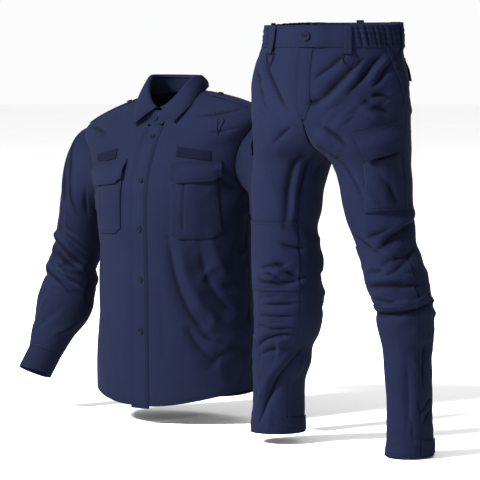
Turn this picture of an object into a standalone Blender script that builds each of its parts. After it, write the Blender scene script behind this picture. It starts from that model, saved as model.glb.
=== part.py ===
"""A navy tactical suit: a long-sleeved button shirt and, in front of its left sleeve, cargo trousers.

Both garments are filled out with no wearer, so every piece of cloth is a thin wall round a hollow.
Each garment is drawn in a frame of its own, with x to the wearer's left, y to the back and z up,
and is then turned and set down in the suit's frame.
The suit's origin is the middle of the shirt's shoulders, where the wearer holds the shirt up.
Lengths are in metres and angles in degrees.
"""

import math

import bmesh
import bpy
import numpy as np
from mathutils import Matrix

WALL = 0.0016           # one layer of ripstop cloth, with its seam allowance
COLLAR_WALL = 0.0022    # two layers and an interlining
SEAM = 0.0003           # gap between two pieces at a seam
LAY = 0.0009            # gap under a piece that lies on another
ON_CLOTH = WALL + LAY   # how far such a piece is moved out from the panel's inner face

SHOULDER_HEIGHT = 0.300     # the origin's height in the garments' common z
SHIRT_PLACE = (0.0, 0.0)
SHIRT_YAW = 33.0
TROUSERS_PLACE = (0.3696, -0.54)
TROUSERS_YAW = 32.0


def table(names, *rows):
    """Sections as a dict that holds one array for each named column."""
    return dict(zip(names.split(), np.array(rows, float).T))


def smooth(sections, name, at):
    """A column read between its rows along a smooth curve, with the first column as the scale."""
    scale = next(iter(sections.values()))
    column = sections[name]
    slope = np.gradient(column, scale)
    low = np.clip(np.searchsorted(scale, at) - 1, 0, len(scale) - 2)
    step = scale[low + 1] - scale[low]
    t = np.clip((at - scale[low]) / step, 0, 1)
    return (
        (2 * t**3 - 3 * t**2 + 1) * column[low]
        + (t**3 - 2 * t**2 + t) * step * slope[low]
        + (3 * t**2 - 2 * t**3) * column[low + 1]
        + (t**3 - t**2) * step * slope[low + 1]
    )


def ease(value, low, high):
    """0 below low, 1 above high and a soft step between them."""
    t = np.clip((value - low) / (high - low), 0, 1)
    return t * t * (3 - 2 * t)


def unit(vectors):
    return vectors / np.linalg.norm(vectors, axis=-1, keepdims=True)


def points(x, y, z):
    return np.stack(np.broadcast_arrays(x, y, z), axis=-1)


def fold_depth(folds, across, along):
    """How far the cloth stands out (or in, below 0) at a place, for a table of soft folds.

    A fold runs straight from (a0, b0) to (a1, b1), is widest in its middle and dies out at its ends.
    """
    total = np.zeros(np.broadcast(across, along).shape)
    for a0, b0, a1, b1, width, height in zip(*folds.values()):
        length2 = (a1 - a0) ** 2 + (b1 - b0) ** 2
        t = ((across - a0) * (a1 - a0) + (along - b0) * (b1 - b0)) / length2
        t = np.clip(t, 0, 1)
        away2 = (across - a0 - t * (a1 - a0)) ** 2 + (along - b0 - t * (b1 - b0)) ** 2
        total += height * np.sin(math.pi * np.clip(t, 0.04, 0.96)) ** 0.7 * np.exp(-away2 / width**2)
    return total


def lifted(surface, u, v, lift, outward):
    """Points of a surface moved out along its normal. outward is 1 or -1."""
    e = 0.002
    du = surface(u + e, v) - surface(u - e, v)
    dv = surface(u, v + e) - surface(u, v - e)
    normal = unit(np.cross(du, dv)) * outward
    lift = np.asarray(lift, float)
    return surface(u, v) + normal * (lift[..., None] if lift.ndim else lift)


# The shirt's body: level 0 is the hem, ARMPIT the underarm, TIP the shoulder's end, 1 the neckline.
ARMPIT, TIP = 0.62, 0.86
TORSO = table(
    "level side_x side_z front_y front_z back_y back_z",
    (0.00, 0.218, -0.360, 0.166, -0.400, 0.128, -0.406),
    (0.12, 0.219, -0.292, 0.167, -0.312, 0.126, -0.315),
    (0.30, 0.209, -0.150, 0.169, -0.160, 0.120, -0.160),
    (0.45, 0.206, -0.030, 0.169, -0.030, 0.124, -0.030),
    (0.55, 0.209, 0.050, 0.168, 0.055, 0.130, 0.060),
    (0.62, 0.218, 0.110, 0.163, 0.125, 0.134, 0.135),
    (0.70, 0.224, 0.170, 0.153, 0.168, 0.135, 0.194),
    (0.78, 0.237, 0.234, 0.137, 0.207, 0.129, 0.243),
    (0.86, 0.258, 0.300, 0.121, 0.238, 0.115, 0.290),
    (0.92, 0.190, 0.335, 0.106, 0.260, 0.096, 0.328),
    (0.96, 0.126, 0.355, 0.095, 0.275, 0.078, 0.353),
    (1.00, 0.072, 0.368, 0.084, 0.288, 0.060, 0.374),
)
SHOULDER_LEAN = 0.08        # the shirt's left shoulder stands higher, as the stance has it
SHOULDER_SHIFT = -0.007
ARMHOLE_MIDDLE = (ARMPIT + TIP) / 2
ARMHOLE_HALF = (TIP - ARMPIT) / 2
ARMHOLE_FRONT, ARMHOLE_BACK = 21.0, 38.0    # how far round the body it reaches from the side
TURN_STEP = 20.0                            # the sleeves' and armholes' points, from the underarm
YOKE_FRONT_TURN, YOKE_BACK_TURN = 140.0, 120.0      # where the yoke's seams meet the armhole
PLACKET_HALF = 0.0245

# The body's largest folds, in metres across the front and up it.
BODY_FOLDS = table(
    "a0 b0 a1 b1 width height",
    (0.085, 0.000, 0.178, -0.235, 0.022, -0.0085),
    (0.125, -0.010, 0.215, -0.210, 0.022, 0.0060),
    (-0.190, -0.060, -0.120, -0.200, 0.026, 0.0045),
    (-0.200, 0.020, -0.140, -0.110, 0.022, -0.0050),
    (0.060, -0.250, 0.130, -0.330, 0.024, -0.0035),
)
BACK_FOLDS = table(
    "a0 b0 a1 b1 width height",
    (-0.190, 0.060, -0.060, -0.100, 0.026, -0.0070),
    (0.185, 0.040, 0.080, -0.120, 0.026, -0.0070),
    (-0.150, -0.090, -0.040, -0.230, 0.024, 0.0050),
    (0.150, -0.110, 0.050, -0.250, 0.024, 0.0050),
    (-0.010, 0.120, 0.010, -0.160, 0.028, -0.0050),
)


def torso_smooth(angle, level):
    """The shirt's body without its folds. Angle 0 is the left side, -90 the front, 90 the back."""
    turn = np.radians(angle)
    front = np.sin(turn) < 0
    depth = np.where(front, smooth(TORSO, "front_y", level), smooth(TORSO, "back_y", level))
    end_z = np.where(front, smooth(TORSO, "front_z", level), smooth(TORSO, "back_z", level))
    x = smooth(TORSO, "side_x", level) * np.cos(turn)
    z = smooth(TORSO, "side_z", level) * np.cos(turn) ** 2 + end_z * np.sin(turn) ** 2
    return points(x, depth * np.sin(turn), z)


def torso_fold(angle, level):
    plain = torso_smooth(angle, level)
    x, z = plain[..., 0], plain[..., 2]
    front = fold_depth(BODY_FOLDS, x, z)
    back = fold_depth(BACK_FOLDS, x, z)
    return np.where(np.sin(np.radians(angle)) < 0, front, back) * ease(abs(x), 0.025, 0.06)


def shirt_world(place):
    """From the shirt's own frame to the suit's."""
    x, y, z = np.moveaxis(place, -1, 0)
    upper = ease(z, -0.15, 0.20)
    z = z + SHOULDER_LEAN * x * upper
    x = x + SHOULDER_SHIFT * upper
    return turned(points(x, y, z), SHIRT_YAW, SHIRT_PLACE)


def turned(place, yaw, at):
    c, s = math.cos(math.radians(yaw)), math.sin(math.radians(yaw))
    x, y, z = np.moveaxis(place, -1, 0)
    return points(at[0] + c * x + s * y, at[1] - s * x + c * y, z - SHOULDER_HEIGHT)


def torso(angle, level, lift=0.0):
    """Points on the shirt's body, lift metres out from the cloth's inner face."""
    def scaled(u, v):
        return torso_smooth(u * 100, v)

    angle, level = np.broadcast_arrays(np.asarray(angle, float), np.asarray(level, float))
    out = torso_fold(angle, level) + lift
    return shirt_world(lifted(scaled, angle / 100, level, out, 1))


def on_torso(x, z, lift):
    """Points on the shirt's front, given as they are seen from straight in front."""
    x, z = np.broadcast_arrays(np.asarray(x, float), np.asarray(z, float))
    low, high = np.zeros(x.shape), np.ones(x.shape)
    for _ in range(24):
        level = (low + high) / 2
        angle = -np.degrees(np.arccos(np.clip(x / smooth(TORSO, "side_x", level), -0.999, 0.999)))
        above = torso_smooth(angle, level)[..., 2] > z
        low, high = np.where(above, low, level), np.where(above, level, high)
    return torso(angle, level, lift)


# Making the pieces.
PARTS = bpy.data.collections.new("tactical_suit")
CLOTH = {}


def clear_scene():
    for obj in list(bpy.data.objects):
        bpy.data.objects.remove(obj)
    bpy.context.scene.collection.children.link(PARTS)


def finish_material(name, colour, roughness, metallic=0.0):
    material = bpy.data.materials.new(name)
    material.use_nodes = True
    shader = material.node_tree.nodes["Principled BSDF"]
    shader.inputs["Base Color"].default_value = (*colour, 1)
    shader.inputs["Roughness"].default_value = roughness
    shader.inputs["Metallic"].default_value = metallic
    CLOTH[name] = material


def add_object(name, mesh, material):
    mesh.materials.append(CLOTH[material])
    mesh.shade_smooth()
    obj = bpy.data.objects.new(name, mesh)
    PARTS.objects.link(obj)
    return obj


def trim(grid, left=False, right=False, top=False, bottom=False):
    """Draws the named edges of a grid of points in by half a seam's gap."""
    grid = grid.copy()
    for wanted, edge, inner in (
        (left, np.s_[:, 0], np.s_[:, 1]),
        (right, np.s_[:, -1], np.s_[:, -2]),
        (top, np.s_[-1], np.s_[-2]),
        (bottom, np.s_[0], np.s_[1]),
    ):
        if wanted:
            grid[edge] = grid[edge] + unit(grid[inner] - grid[edge]) * SEAM / 2
    return grid


def cloth(name, grid, wall=WALL, ring=False, flip=False, material="ripstop"):
    """A sheet of cloth from rows of points. It gets its thickness outwards, and ring joins its sides."""
    rows, columns = grid.shape[:2]
    faces = []
    for row in range(rows - 1):
        for column in range(columns if ring else columns - 1):
            right = (column + 1) % columns
            face = (
                row * columns + column,
                row * columns + right,
                (row + 1) * columns + right,
                (row + 1) * columns + column,
            )
            faces.append(face[::-1] if flip else face)
    mesh = bpy.data.meshes.new(name)
    mesh.from_pydata(grid.reshape(-1, 3).tolist(), [], faces)
    obj = add_object(name, mesh, material)
    thickness = obj.modifiers.new("thickness", "SOLIDIFY")
    thickness.thickness = wall
    thickness.offset = 1
    return obj


def button(name, centre, outward, size, height, material="button"):
    """A turned button, with a rim and a shallow dish, lying flat on the cloth."""
    half = size / 2
    profile = ((half, 0), (half, height), (0.7 * half, 0.7 * height))
    mesh = bpy.data.meshes.new(name)
    shape = bmesh.new()
    around = 12
    rings = []
    for radius, up in profile:
        corners = []
        for step in range(around):
            turn = 2 * math.pi * step / around
            corners.append(shape.verts.new((radius * math.cos(turn), radius * math.sin(turn), up)))
        rings.append(corners)
    for low, high in zip(rings, rings[1:]):
        for step in range(around):
            after = (step + 1) % around
            shape.faces.new((low[step], low[after], high[after], high[step]))
    shape.faces.new(rings[0][::-1])
    shape.faces.new(rings[-1])
    shape.to_mesh(mesh)
    shape.free()
    obj = add_object(name, mesh, material)
    side = unit(np.cross((0.0, 0.0, 1.0), outward))
    upward = np.cross(outward, side)
    turn = np.eye(4)
    turn[:3, :4] = np.stack((side, upward, outward, centre), axis=1)
    mesh.transform(Matrix(turn.tolist()))
    return obj


def normal_of(surface, *at):
    """The outward direction of a surface function that takes a lift last."""
    return unit(surface(*at, 0.01) - surface(*at, 0.0))


def facing(place, u, v, step_u, step_v):
    """The direction square to a surface, from two small steps on it."""
    du = place(u + step_u, v) - place(u - step_u, v)
    dv = place(u, v + step_v) - place(u, v - step_v)
    return unit(np.cross(du, dv))


# Shirt panels.
LOWER_LEVELS = np.linspace(0, 0.57, 11)
YOKE_SHARES = np.array((0, 0.2, 0.45, 0.72, 1))


def armhole(turn):
    """Level and reach from the side of a place on the armhole. Turn is 0 underarm and 180 on top."""
    turn = np.radians(turn)
    reach = np.where(np.sin(turn) > 0, ARMHOLE_FRONT, ARMHOLE_BACK)
    return ARMHOLE_MIDDLE - ARMHOLE_HALF * np.cos(turn), reach * abs(np.sin(turn))


def shirt_front(name, side):
    """A front, from the placket's seam to the side seam and armhole, and up to the yoke and neck."""
    turns = np.arange(0, YOKE_FRONT_TURN + 1, TURN_STEP)
    level, reach = armhole(turns + 0.001)
    upper = level[-1] + (1 - level[-1]) * YOKE_SHARES[1:]
    levels = np.concatenate((LOWER_LEVELS, level, upper))[:, None]
    reach = np.concatenate((0 * LOWER_LEVELS, reach, 0 * upper + reach[-1]))[:, None]
    middle = -np.degrees(np.arccos(PLACKET_HALF / smooth(TORSO, "side_x", levels)))
    end = -reach if side > 0 else -180 - middle * 0 + reach
    start = middle if side > 0 else -180 - middle
    across = np.linspace(0, 1, 11)[None, :]
    grid = torso(start + (end - start) * across, levels)
    return cloth(name, trim(grid, left=True, right=True), flip=side < 0)


def shirt_back():
    turns = np.arange(0, YOKE_BACK_TURN + 1, TURN_STEP)
    level, reach = armhole(360 - turns - 0.001)
    levels = np.concatenate((LOWER_LEVELS, level))[:, None]
    reach = np.concatenate((0 * LOWER_LEVELS, reach))[:, None]
    across = np.linspace(0, 1, 15)[None, :]
    grid = torso(reach + (180 - 2 * reach) * across, levels)
    return cloth("shirt_back", trim(grid, left=True, right=True, top=True))


def shirt_yoke():
    """Over both shoulders. Its outer edge follows the armholes' tops and the seam across the back."""
    front_level, front_reach = armhole(np.arange(YOKE_FRONT_TURN, 161, TURN_STEP))
    back_level, back_reach = armhole(np.arange(180, 361 - YOKE_BACK_TURN, TURN_STEP))
    flat = np.array((45.0, 60.0, 75.0))
    half = np.concatenate((-front_reach, back_reach, flat))
    level = np.concatenate((front_level, back_level, 0 * flat + back_level[-1]))
    angles = np.concatenate((half, (90,), 180 - half[::-1]))[None, :]
    outer = np.concatenate((level, (back_level[-1],), level[::-1]))[None, :]
    share = YOKE_SHARES[:, None]
    grid = trim(torso(angles, outer + (1 - outer) * share), left=True, right=True)
    seam = slice(len(half) - len(flat) - 1, -(len(half) - len(flat) - 1))
    grid[0, seam] = trim(grid, bottom=True)[0, seam]
    return cloth("shirt_yoke", grid)


# Sleeves: where each ring of the sleeve lies, run metres down the arm from the cap's foot.
SLEEVES = {
    -1: table(
        "run x y z out front",
        (0.000, 0.303, 0.028, 0.066, 0.062, 0.076),
        (0.070, 0.319, 0.026, -0.004, 0.061, 0.072),
        (0.125, 0.332, 0.018, -0.060, 0.063, 0.069),
        (0.180, 0.337, 0.006, -0.115, 0.067, 0.068),
        (0.245, 0.345, -0.012, -0.176, 0.074, 0.070),
        (0.315, 0.364, -0.034, -0.240, 0.057, 0.056),
        (0.378, 0.373, -0.058, -0.297, 0.043, 0.044),
    ),
    1: table(
        "run x y z out front",
        (0.000, 0.306, -0.026, 0.080, 0.060, 0.066),
        (0.070, 0.336, -0.036, 0.014, 0.060, 0.064),
        (0.125, 0.350, -0.045, -0.046, 0.060, 0.063),
        (0.180, 0.357, -0.058, -0.102, 0.062, 0.064),
        (0.245, 0.362, -0.078, -0.163, 0.060, 0.061),
        (0.315, 0.360, -0.098, -0.227, 0.051, 0.052),
        (0.378, 0.356, -0.114, -0.288, 0.043, 0.044),
    ),
}
SLEEVE_LENGTH = 0.378
CUFF_LENGTH = 0.058
CAP_PULL_OUT, CAP_PULL_DOWN = 1.07, 0.82
SLEEVE_GIRTH = 0.43

# Sleeve folds, each from one turn (in degrees) and run to another.
SLEEVE_FOLDS = table(
    "a0 b0 a1 b1 width height",
    (160, 0.050, 40, 0.150, 0.020, -0.0070),
    (150, 0.105, 30, 0.195, 0.020, 0.0050),
    (160, 0.165, 60, 0.235, 0.018, -0.0055),
    (200, -0.020, 150, 0.110, 0.024, -0.0045),
    (240, 0.080, 350, 0.150, 0.022, -0.0060),
    (250, 0.135, 345, 0.190, 0.022, 0.0050),
    (110, 0.250, 170, 0.340, 0.022, -0.0045),
    (220, 0.260, 290, 0.345, 0.022, -0.0040),
)
SLEEVE_FOLDS["a0"] *= SLEEVE_GIRTH / 360
SLEEVE_FOLDS["a1"] *= SLEEVE_GIRTH / 360


def sleeve_ring(side, turn, run):
    """A point of the sleeve below its cap. Turn 0 is the underarm, 90 the front and 180 outside."""
    rings = SLEEVES[side]
    centre = points(side * smooth(rings, "x", run), smooth(rings, "y", run), smooth(rings, "z", run))
    e = 0.01
    later, sooner = np.minimum(run + e, SLEEVE_LENGTH), np.maximum(run - e, 0)
    along = unit(
        points(
            side * (smooth(rings, "x", later) - smooth(rings, "x", sooner)),
            smooth(rings, "y", later) - smooth(rings, "y", sooner),
            smooth(rings, "z", later) - smooth(rings, "z", sooner),
        )
    )
    outward = unit(np.cross(along, (0.0, side, 0.0)))
    forward = unit(np.cross(along, outward)) * side
    turn = np.radians(turn)
    fold = fold_depth(SLEEVE_FOLDS, np.degrees(turn) / 360 * SLEEVE_GIRTH, run)
    out = (smooth(rings, "out", run) + fold)[..., None]
    front = (smooth(rings, "front", run) + fold)[..., None]
    return centre + forward * front * np.sin(turn)[..., None] - outward * out * np.cos(turn)[..., None]


def armhole_point(side, turn, lift):
    """The armhole's edge, with turn as for the sleeve, in the shirt's own frame."""
    level = ARMHOLE_MIDDLE - ARMHOLE_HALF * np.cos(np.radians(turn))
    sine = np.sin(np.radians(turn))
    angle = np.where(sine > 0, -ARMHOLE_FRONT, -ARMHOLE_BACK) * sine
    angle = angle if side > 0 else 180 - angle

    def scaled(u, v):
        return torso_smooth(u * 100, v)

    return lifted(scaled, angle / 100, level, lift, 1)


def sleeve_cap(side, turn, share):
    """A point between the armhole, at share 0, and the sleeve's first ring, at share 1."""
    start = armhole_point(side, turn, WALL + 2 * SEAM)
    end = sleeve_ring(side, turn, np.zeros_like(turn))
    reach = np.linalg.norm(end - start, axis=-1, keepdims=True)
    out = np.array((side * 0.985, 0.0, -0.17)) * CAP_PULL_OUT * reach
    down = np.array((side * 0.10, 0.0, -0.995)) * CAP_PULL_DOWN * reach
    t = share[..., None]
    return (
        (2 * t**3 - 3 * t**2 + 1) * start
        + (t**3 - 2 * t**2 + t) * out
        + (3 * t**2 - 2 * t**3) * end
        + (t**3 - t**2) * down
    )


def sleeve(name, side):
    turns = np.arange(0, 360, TURN_STEP)[None, :]
    cap = np.array((0, 0.14, 0.34, 0.56, 0.78))[:, None]
    runs = np.linspace(0, SLEEVE_LENGTH, 12)[:, None]
    upper = sleeve_cap(side, *np.broadcast_arrays(turns, cap))
    lower = sleeve_ring(side, *np.broadcast_arrays(turns, runs))
    grid = shirt_world(np.concatenate((upper, lower)))
    return cloth(name, trim(grid, top=True), ring=True, flip=side < 0)


def cuff_point(side, turn, down, lift):
    """The cuff goes straight on from the sleeve's end."""
    turn = np.asarray(turn, float)
    end = sleeve_ring(side, turn, np.full(turn.shape, SLEEVE_LENGTH))
    middle = points(
        side * SLEEVES[side]["x"][-1], SLEEVES[side]["y"][-1], SLEEVES[side]["z"][-1]
    )
    along = unit(np.array(SLEEVE_AIM[side]))
    radial = end - middle
    radial = unit(radial - (radial @ along)[..., None] * along)
    return end + along * np.asarray(down)[..., None] + radial * np.asarray(lift)[..., None]


SLEEVE_AIM = {-1: (-0.30, -0.36, -0.88), 1: (0.05, -0.30, -0.95)}
CUFF_LAP = 26.0     # how far the buttoned end lies over the other, in degrees


def cuff(name, side):
    """A cuff closed by its button: a strip whose end lies over its start."""
    start = 250.0
    turns = np.linspace(start, start + 360 + CUFF_LAP, 18)[None, :]
    over = ease(turns, start + 330, start + 352) * (COLLAR_WALL + 2 * SEAM)
    downs = np.array((SEAM / 2, CUFF_LENGTH / 2, CUFF_LENGTH))[:, None]
    turns, downs, over = np.broadcast_arrays(turns, downs, over)
    grid = shirt_world(cuff_point(side, turns, downs, over))
    return cloth(name, grid, wall=COLLAR_WALL, flip=side < 0)


# Collar: the stand rises from the neckline, and the fall turns over it and spreads into two points.
FOLD_X, FOLD_FRONT, FOLD_BACK = 0.066, 0.072, 0.058
FOLD_TOP, FOLD_DROP = 0.410, 0.078
FOLD_TILT = 0.09        # keeps the fold level although the shoulders aren't
COLLAR_EDGE = table(
    "angle x y z",
    (-90, 0.055, -0.100, 0.287),
    (-60, 0.075, -0.074, 0.322),
    (-30, 0.085, -0.038, 0.355),
    (0, 0.082, 0.004, 0.373),
    (45, 0.061, 0.052, 0.380),
    (90, 0.000, 0.077, 0.380),
)


def collar_fold(angle, inset=0.0):
    turn = np.radians(angle)
    front = np.sin(turn) < 0
    depth = np.where(front, FOLD_FRONT, FOLD_BACK) - inset
    z = FOLD_TOP - FOLD_DROP * np.where(front, np.sin(turn) ** 2, 0) - FOLD_TILT * FOLD_X * np.cos(turn)
    return points((FOLD_X - inset) * np.cos(turn), depth * np.sin(turn), z)


def collar_edge(angle):
    left = np.where(angle > 90, 180 - angle, angle)
    x = np.where(angle > 90, -1, 1) * smooth(COLLAR_EDGE, "x", left)
    return points(x, smooth(COLLAR_EDGE, "y", left), smooth(COLLAR_EDGE, "z", left))


STAND_INSET = 0.0045
STAND_GAP = 0.008       # how far the stand's top lies below the fold


def stand_point(angle, share, lift):
    foot = torso_smooth(angle, np.ones_like(angle)) + points(0, 0, WALL + 3 * SEAM)
    top = collar_fold(angle, STAND_INSET) - points(0, 0, STAND_GAP)
    out = points(np.cos(np.radians(angle)), np.sin(np.radians(angle)), 0.0)
    return foot + (top - foot) * share[..., None] + out * np.asarray(lift)[..., None]


def collar_stand():
    """A band round the neck. Its left end laps over the right one, where the collar button sits."""
    angles = np.linspace(-104, 258, 25)[None, :]
    over = (1 - ease(angles, -88, -70)) * (COLLAR_WALL + 2 * SEAM)
    share = np.array((0.0, 0.5, 1.0))[:, None]
    angles, share, over = np.broadcast_arrays(angles, share, over)
    grid = shirt_world(stand_point(angles, share, over))
    return cloth("collar_stand", grid, wall=COLLAR_WALL)


def collar_fall():
    angles = np.linspace(-84, 264, 27)[None, :]
    fold = collar_fold(angles)
    edge = collar_edge(angles)
    out = points(np.cos(np.radians(angles)), np.sin(np.radians(angles)), 0.0)
    drop = points(0, 0, 1.0)
    rows = [
        fold - out * STAND_INSET - drop * (STAND_GAP - 0.0015),
        fold - out * 0.002,
        fold + out * 0.003 - drop * 0.0015,
    ]
    for share in (0.5, 1.0):
        bow = 0.004 * math.sin(math.pi * share)
        rows.append(fold + out * 0.003 + (edge - fold - out * 0.003) * share + out * bow)
    grid = shirt_world(np.concatenate(rows))
    return cloth("collar_fall", grid, wall=COLLAR_WALL, flip=True)


# Shirt trims. Corners are metres across the chest and up it, seen from the front.
PLACKET_STEP = 0.005        # the placket hangs this far below the right front
BUTTON_SIZE, BUTTON_HEIGHT = 0.0135, 0.0026
BUTTON_X = 0.007
FRONT_BUTTONS = (0.259, 0.154, 0.036, -0.087, -0.214)
POCKETS = {
    1: dict(inner=0.088, outer=0.184, top=0.170, bottom=0.010),
    -1: dict(inner=0.054, outer=0.158, top=0.182, bottom=0.026),
}
FLAPS = {
    1: dict(inner=0.084, outer=0.190, top=0.190, mitre=0.141),
    -1: dict(inner=0.050, outer=0.184, top=0.208, mitre=0.148),
}
NAME_STRIPS = {
    1: dict(inner=0.090, outer=0.170, top=0.230, bottom=0.207, tilt=0.20),
    -1: dict(inner=0.092, outer=0.166, top=0.238, bottom=0.214, tilt=-0.04),
}


def placket():
    rows = np.linspace(0, 1, 18)[:, None]
    across = np.linspace(-PLACKET_HALF, PLACKET_HALF + 0.002, 4)[None, :]
    bottom, top = TORSO["front_z"][0] - PLACKET_STEP, TORSO["front_z"][-1] - 0.003
    z = bottom + (top - bottom) * rows
    grid = on_torso(across, np.maximum(z, TORSO["front_z"][0] + 0.001), ON_CLOTH + 2 * SEAM)
    grid[0, :, 2] -= PLACKET_STEP
    return cloth("placket", grid)


def patch(name, side, corners, lift, wall, columns, rows, bottom=None, material="ripstop"):
    """A flat piece sewn on the chest, between two upright edges."""
    across = np.linspace(0, 1, columns + 1)[None, :]
    up = np.linspace(0, 1, rows + 1)[:, None]
    x = corners["inner"] + (corners["outer"] - corners["inner"]) * across
    low = corners["bottom"] if bottom is None else bottom(across)
    z = low + (corners["top"] - low) * up - corners["tilt"] * (x - corners["inner"])
    grid = on_torso(side * x, z, lift)
    return cloth(name, grid, wall=wall, flip=side < 0, material=material)


def pocket_bulge(across, up):
    """A pocket bag stands off the chest in its middle, and its edges lie close."""
    return 0.004 * np.sin(math.pi * across) ** 0.6 * np.sin(math.pi * np.clip(up, 0, 0.9)) ** 0.5


def chest_pocket(name, side):
    corners = POCKETS[side]
    across = np.linspace(0, 1, 8)[None, :]
    up = np.linspace(0, 1, 7)[:, None]
    x = corners["inner"] + (corners["outer"] - corners["inner"]) * across
    rounded = 0.012 * (ease(across, 0.8, 1) + 1 - ease(across, 0, 0.2))
    z = corners["bottom"] + rounded + (corners["top"] - corners["bottom"] - rounded) * up
    grid = on_torso(side * x, z, ON_CLOTH + pocket_bulge(across, up))
    return cloth(name, grid, flip=side < 0)


def pocket_flap(name, side):
    """A flap over the pocket's mouth, mitred at its lower corners."""
    corners = FLAPS[side]

    def low(across):
        inner = corners["mitre"] + 0.012 * (1 - ease(across, 0, 0.18))
        outer = 0.012 * ease(across, 0.82, 1.0)
        return inner + outer

    up_lift = ON_CLOTH + WALL + 0.0055
    across = np.linspace(0, 1, 9)[None, :]
    up = np.linspace(0, 1, 4)[:, None]
    x = corners["inner"] + (corners["outer"] - corners["inner"]) * across
    z = low(across) + (corners["top"] - low(across)) * up
    lift = ON_CLOTH + (up_lift - ON_CLOTH) * (1 - ease(up, 0.45, 1.0)) + 0 * across
    grid = on_torso(side * x, z, lift)
    return cloth(name, grid, flip=side < 0)


STRAP = dict(inner=0.978, outer=0.872, half=0.021)
STRAP_LEVEL_BUTTON = 0.953


def shoulder_strap(name, side):
    """A strap along the shoulder from the armhole to a pointed, buttoned end near the collar."""
    levels = np.linspace(STRAP["outer"], STRAP["inner"], 9)[:, None]
    across = np.linspace(-1, 1, 5)[None, :]
    half = STRAP["half"] * np.where(levels > 0.965, 0.45, 1.0)
    y = half * across - 0.003
    depth = np.where(y < 0, smooth(TORSO, "front_y", levels), smooth(TORSO, "back_y", levels))
    angle = np.degrees(np.arcsin(y / depth))
    angle = angle if side > 0 else 180 - angle
    grid = torso(angle, levels + 0 * across, ON_CLOTH)
    return cloth(name, grid, flip=side < 0)


def pen_loop():
    """The small V-shaped loop sewn on the left shoulder."""
    share = np.linspace(-1, 1, 7)[None, :]
    side = np.array((1, -1))[:, None]
    x = 0.1845 + (0.0085 + 0.0022 * side) * share
    z = 0.256 - 0.0035 * side + 0.030 * abs(share)
    return cloth("pen_loop", on_torso(x, z, ON_CLOTH - SEAM / 2), wall=0.0012)


def shirt_buttons():
    for number, z in enumerate(FRONT_BUTTONS, 1):
        at = ON_CLOTH + WALL + 3 * SEAM
        outward = normal_of(on_torso, BUTTON_X, z)
        centre = on_torso(BUTTON_X, z, at)
        button(f"front_button_{number}", centre, outward, BUTTON_SIZE, BUTTON_HEIGHT)
    lap = COLLAR_WALL + 2 * SEAM

    def collar_front(angle, share):
        return shirt_world(stand_point(np.array(angle), np.array(share), np.array(2 * lap)))

    outward = facing(collar_front, -93.0, 0.52, 1.0, 0.02)
    button("collar_button", collar_front(-93.0, 0.52), outward, BUTTON_SIZE, BUTTON_HEIGHT)
    for word, side in (("right", -1), ("left", 1)):
        angle = -1.5 if side > 0 else 181.5
        outward = normal_of(torso, angle, STRAP_LEVEL_BUTTON)
        centre = torso(angle, STRAP_LEVEL_BUTTON, ON_CLOTH + WALL + 3 * SEAM)
        button(f"strap_button_{word}", centre, outward, BUTTON_SIZE, BUTTON_HEIGHT)

        def cuff_outside(turn, down):
            return shirt_world(cuff_point(side, np.array(turn), np.array(down), np.array(2 * lap)))

        outward = side * facing(cuff_outside, 263.0, CUFF_LENGTH / 2, 1.0, 0.004)
        centre = cuff_outside(263.0, CUFF_LENGTH / 2)
        button(f"cuff_button_{word}", centre, outward, BUTTON_SIZE, BUTTON_HEIGHT)


def build_shirt():
    for word, side in (("right", -1), ("left", 1)):
        shirt_front(f"shirt_front_{word}", side)
        sleeve(f"sleeve_{word}", side)
        cuff(f"cuff_{word}", side)
        chest_pocket(f"chest_pocket_{word}", side)
        pocket_flap(f"pocket_flap_{word}", side)
        patch(f"name_strip_{word}", side, NAME_STRIPS[side], ON_CLOTH, 0.0012, 5, 2, material="hook_tape")
        shoulder_strap(f"shoulder_strap_{word}", side)
    shirt_back()
    shirt_yoke()
    collar_stand()
    collar_fall()
    placket()
    pen_loop()
    shirt_buttons()


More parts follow.
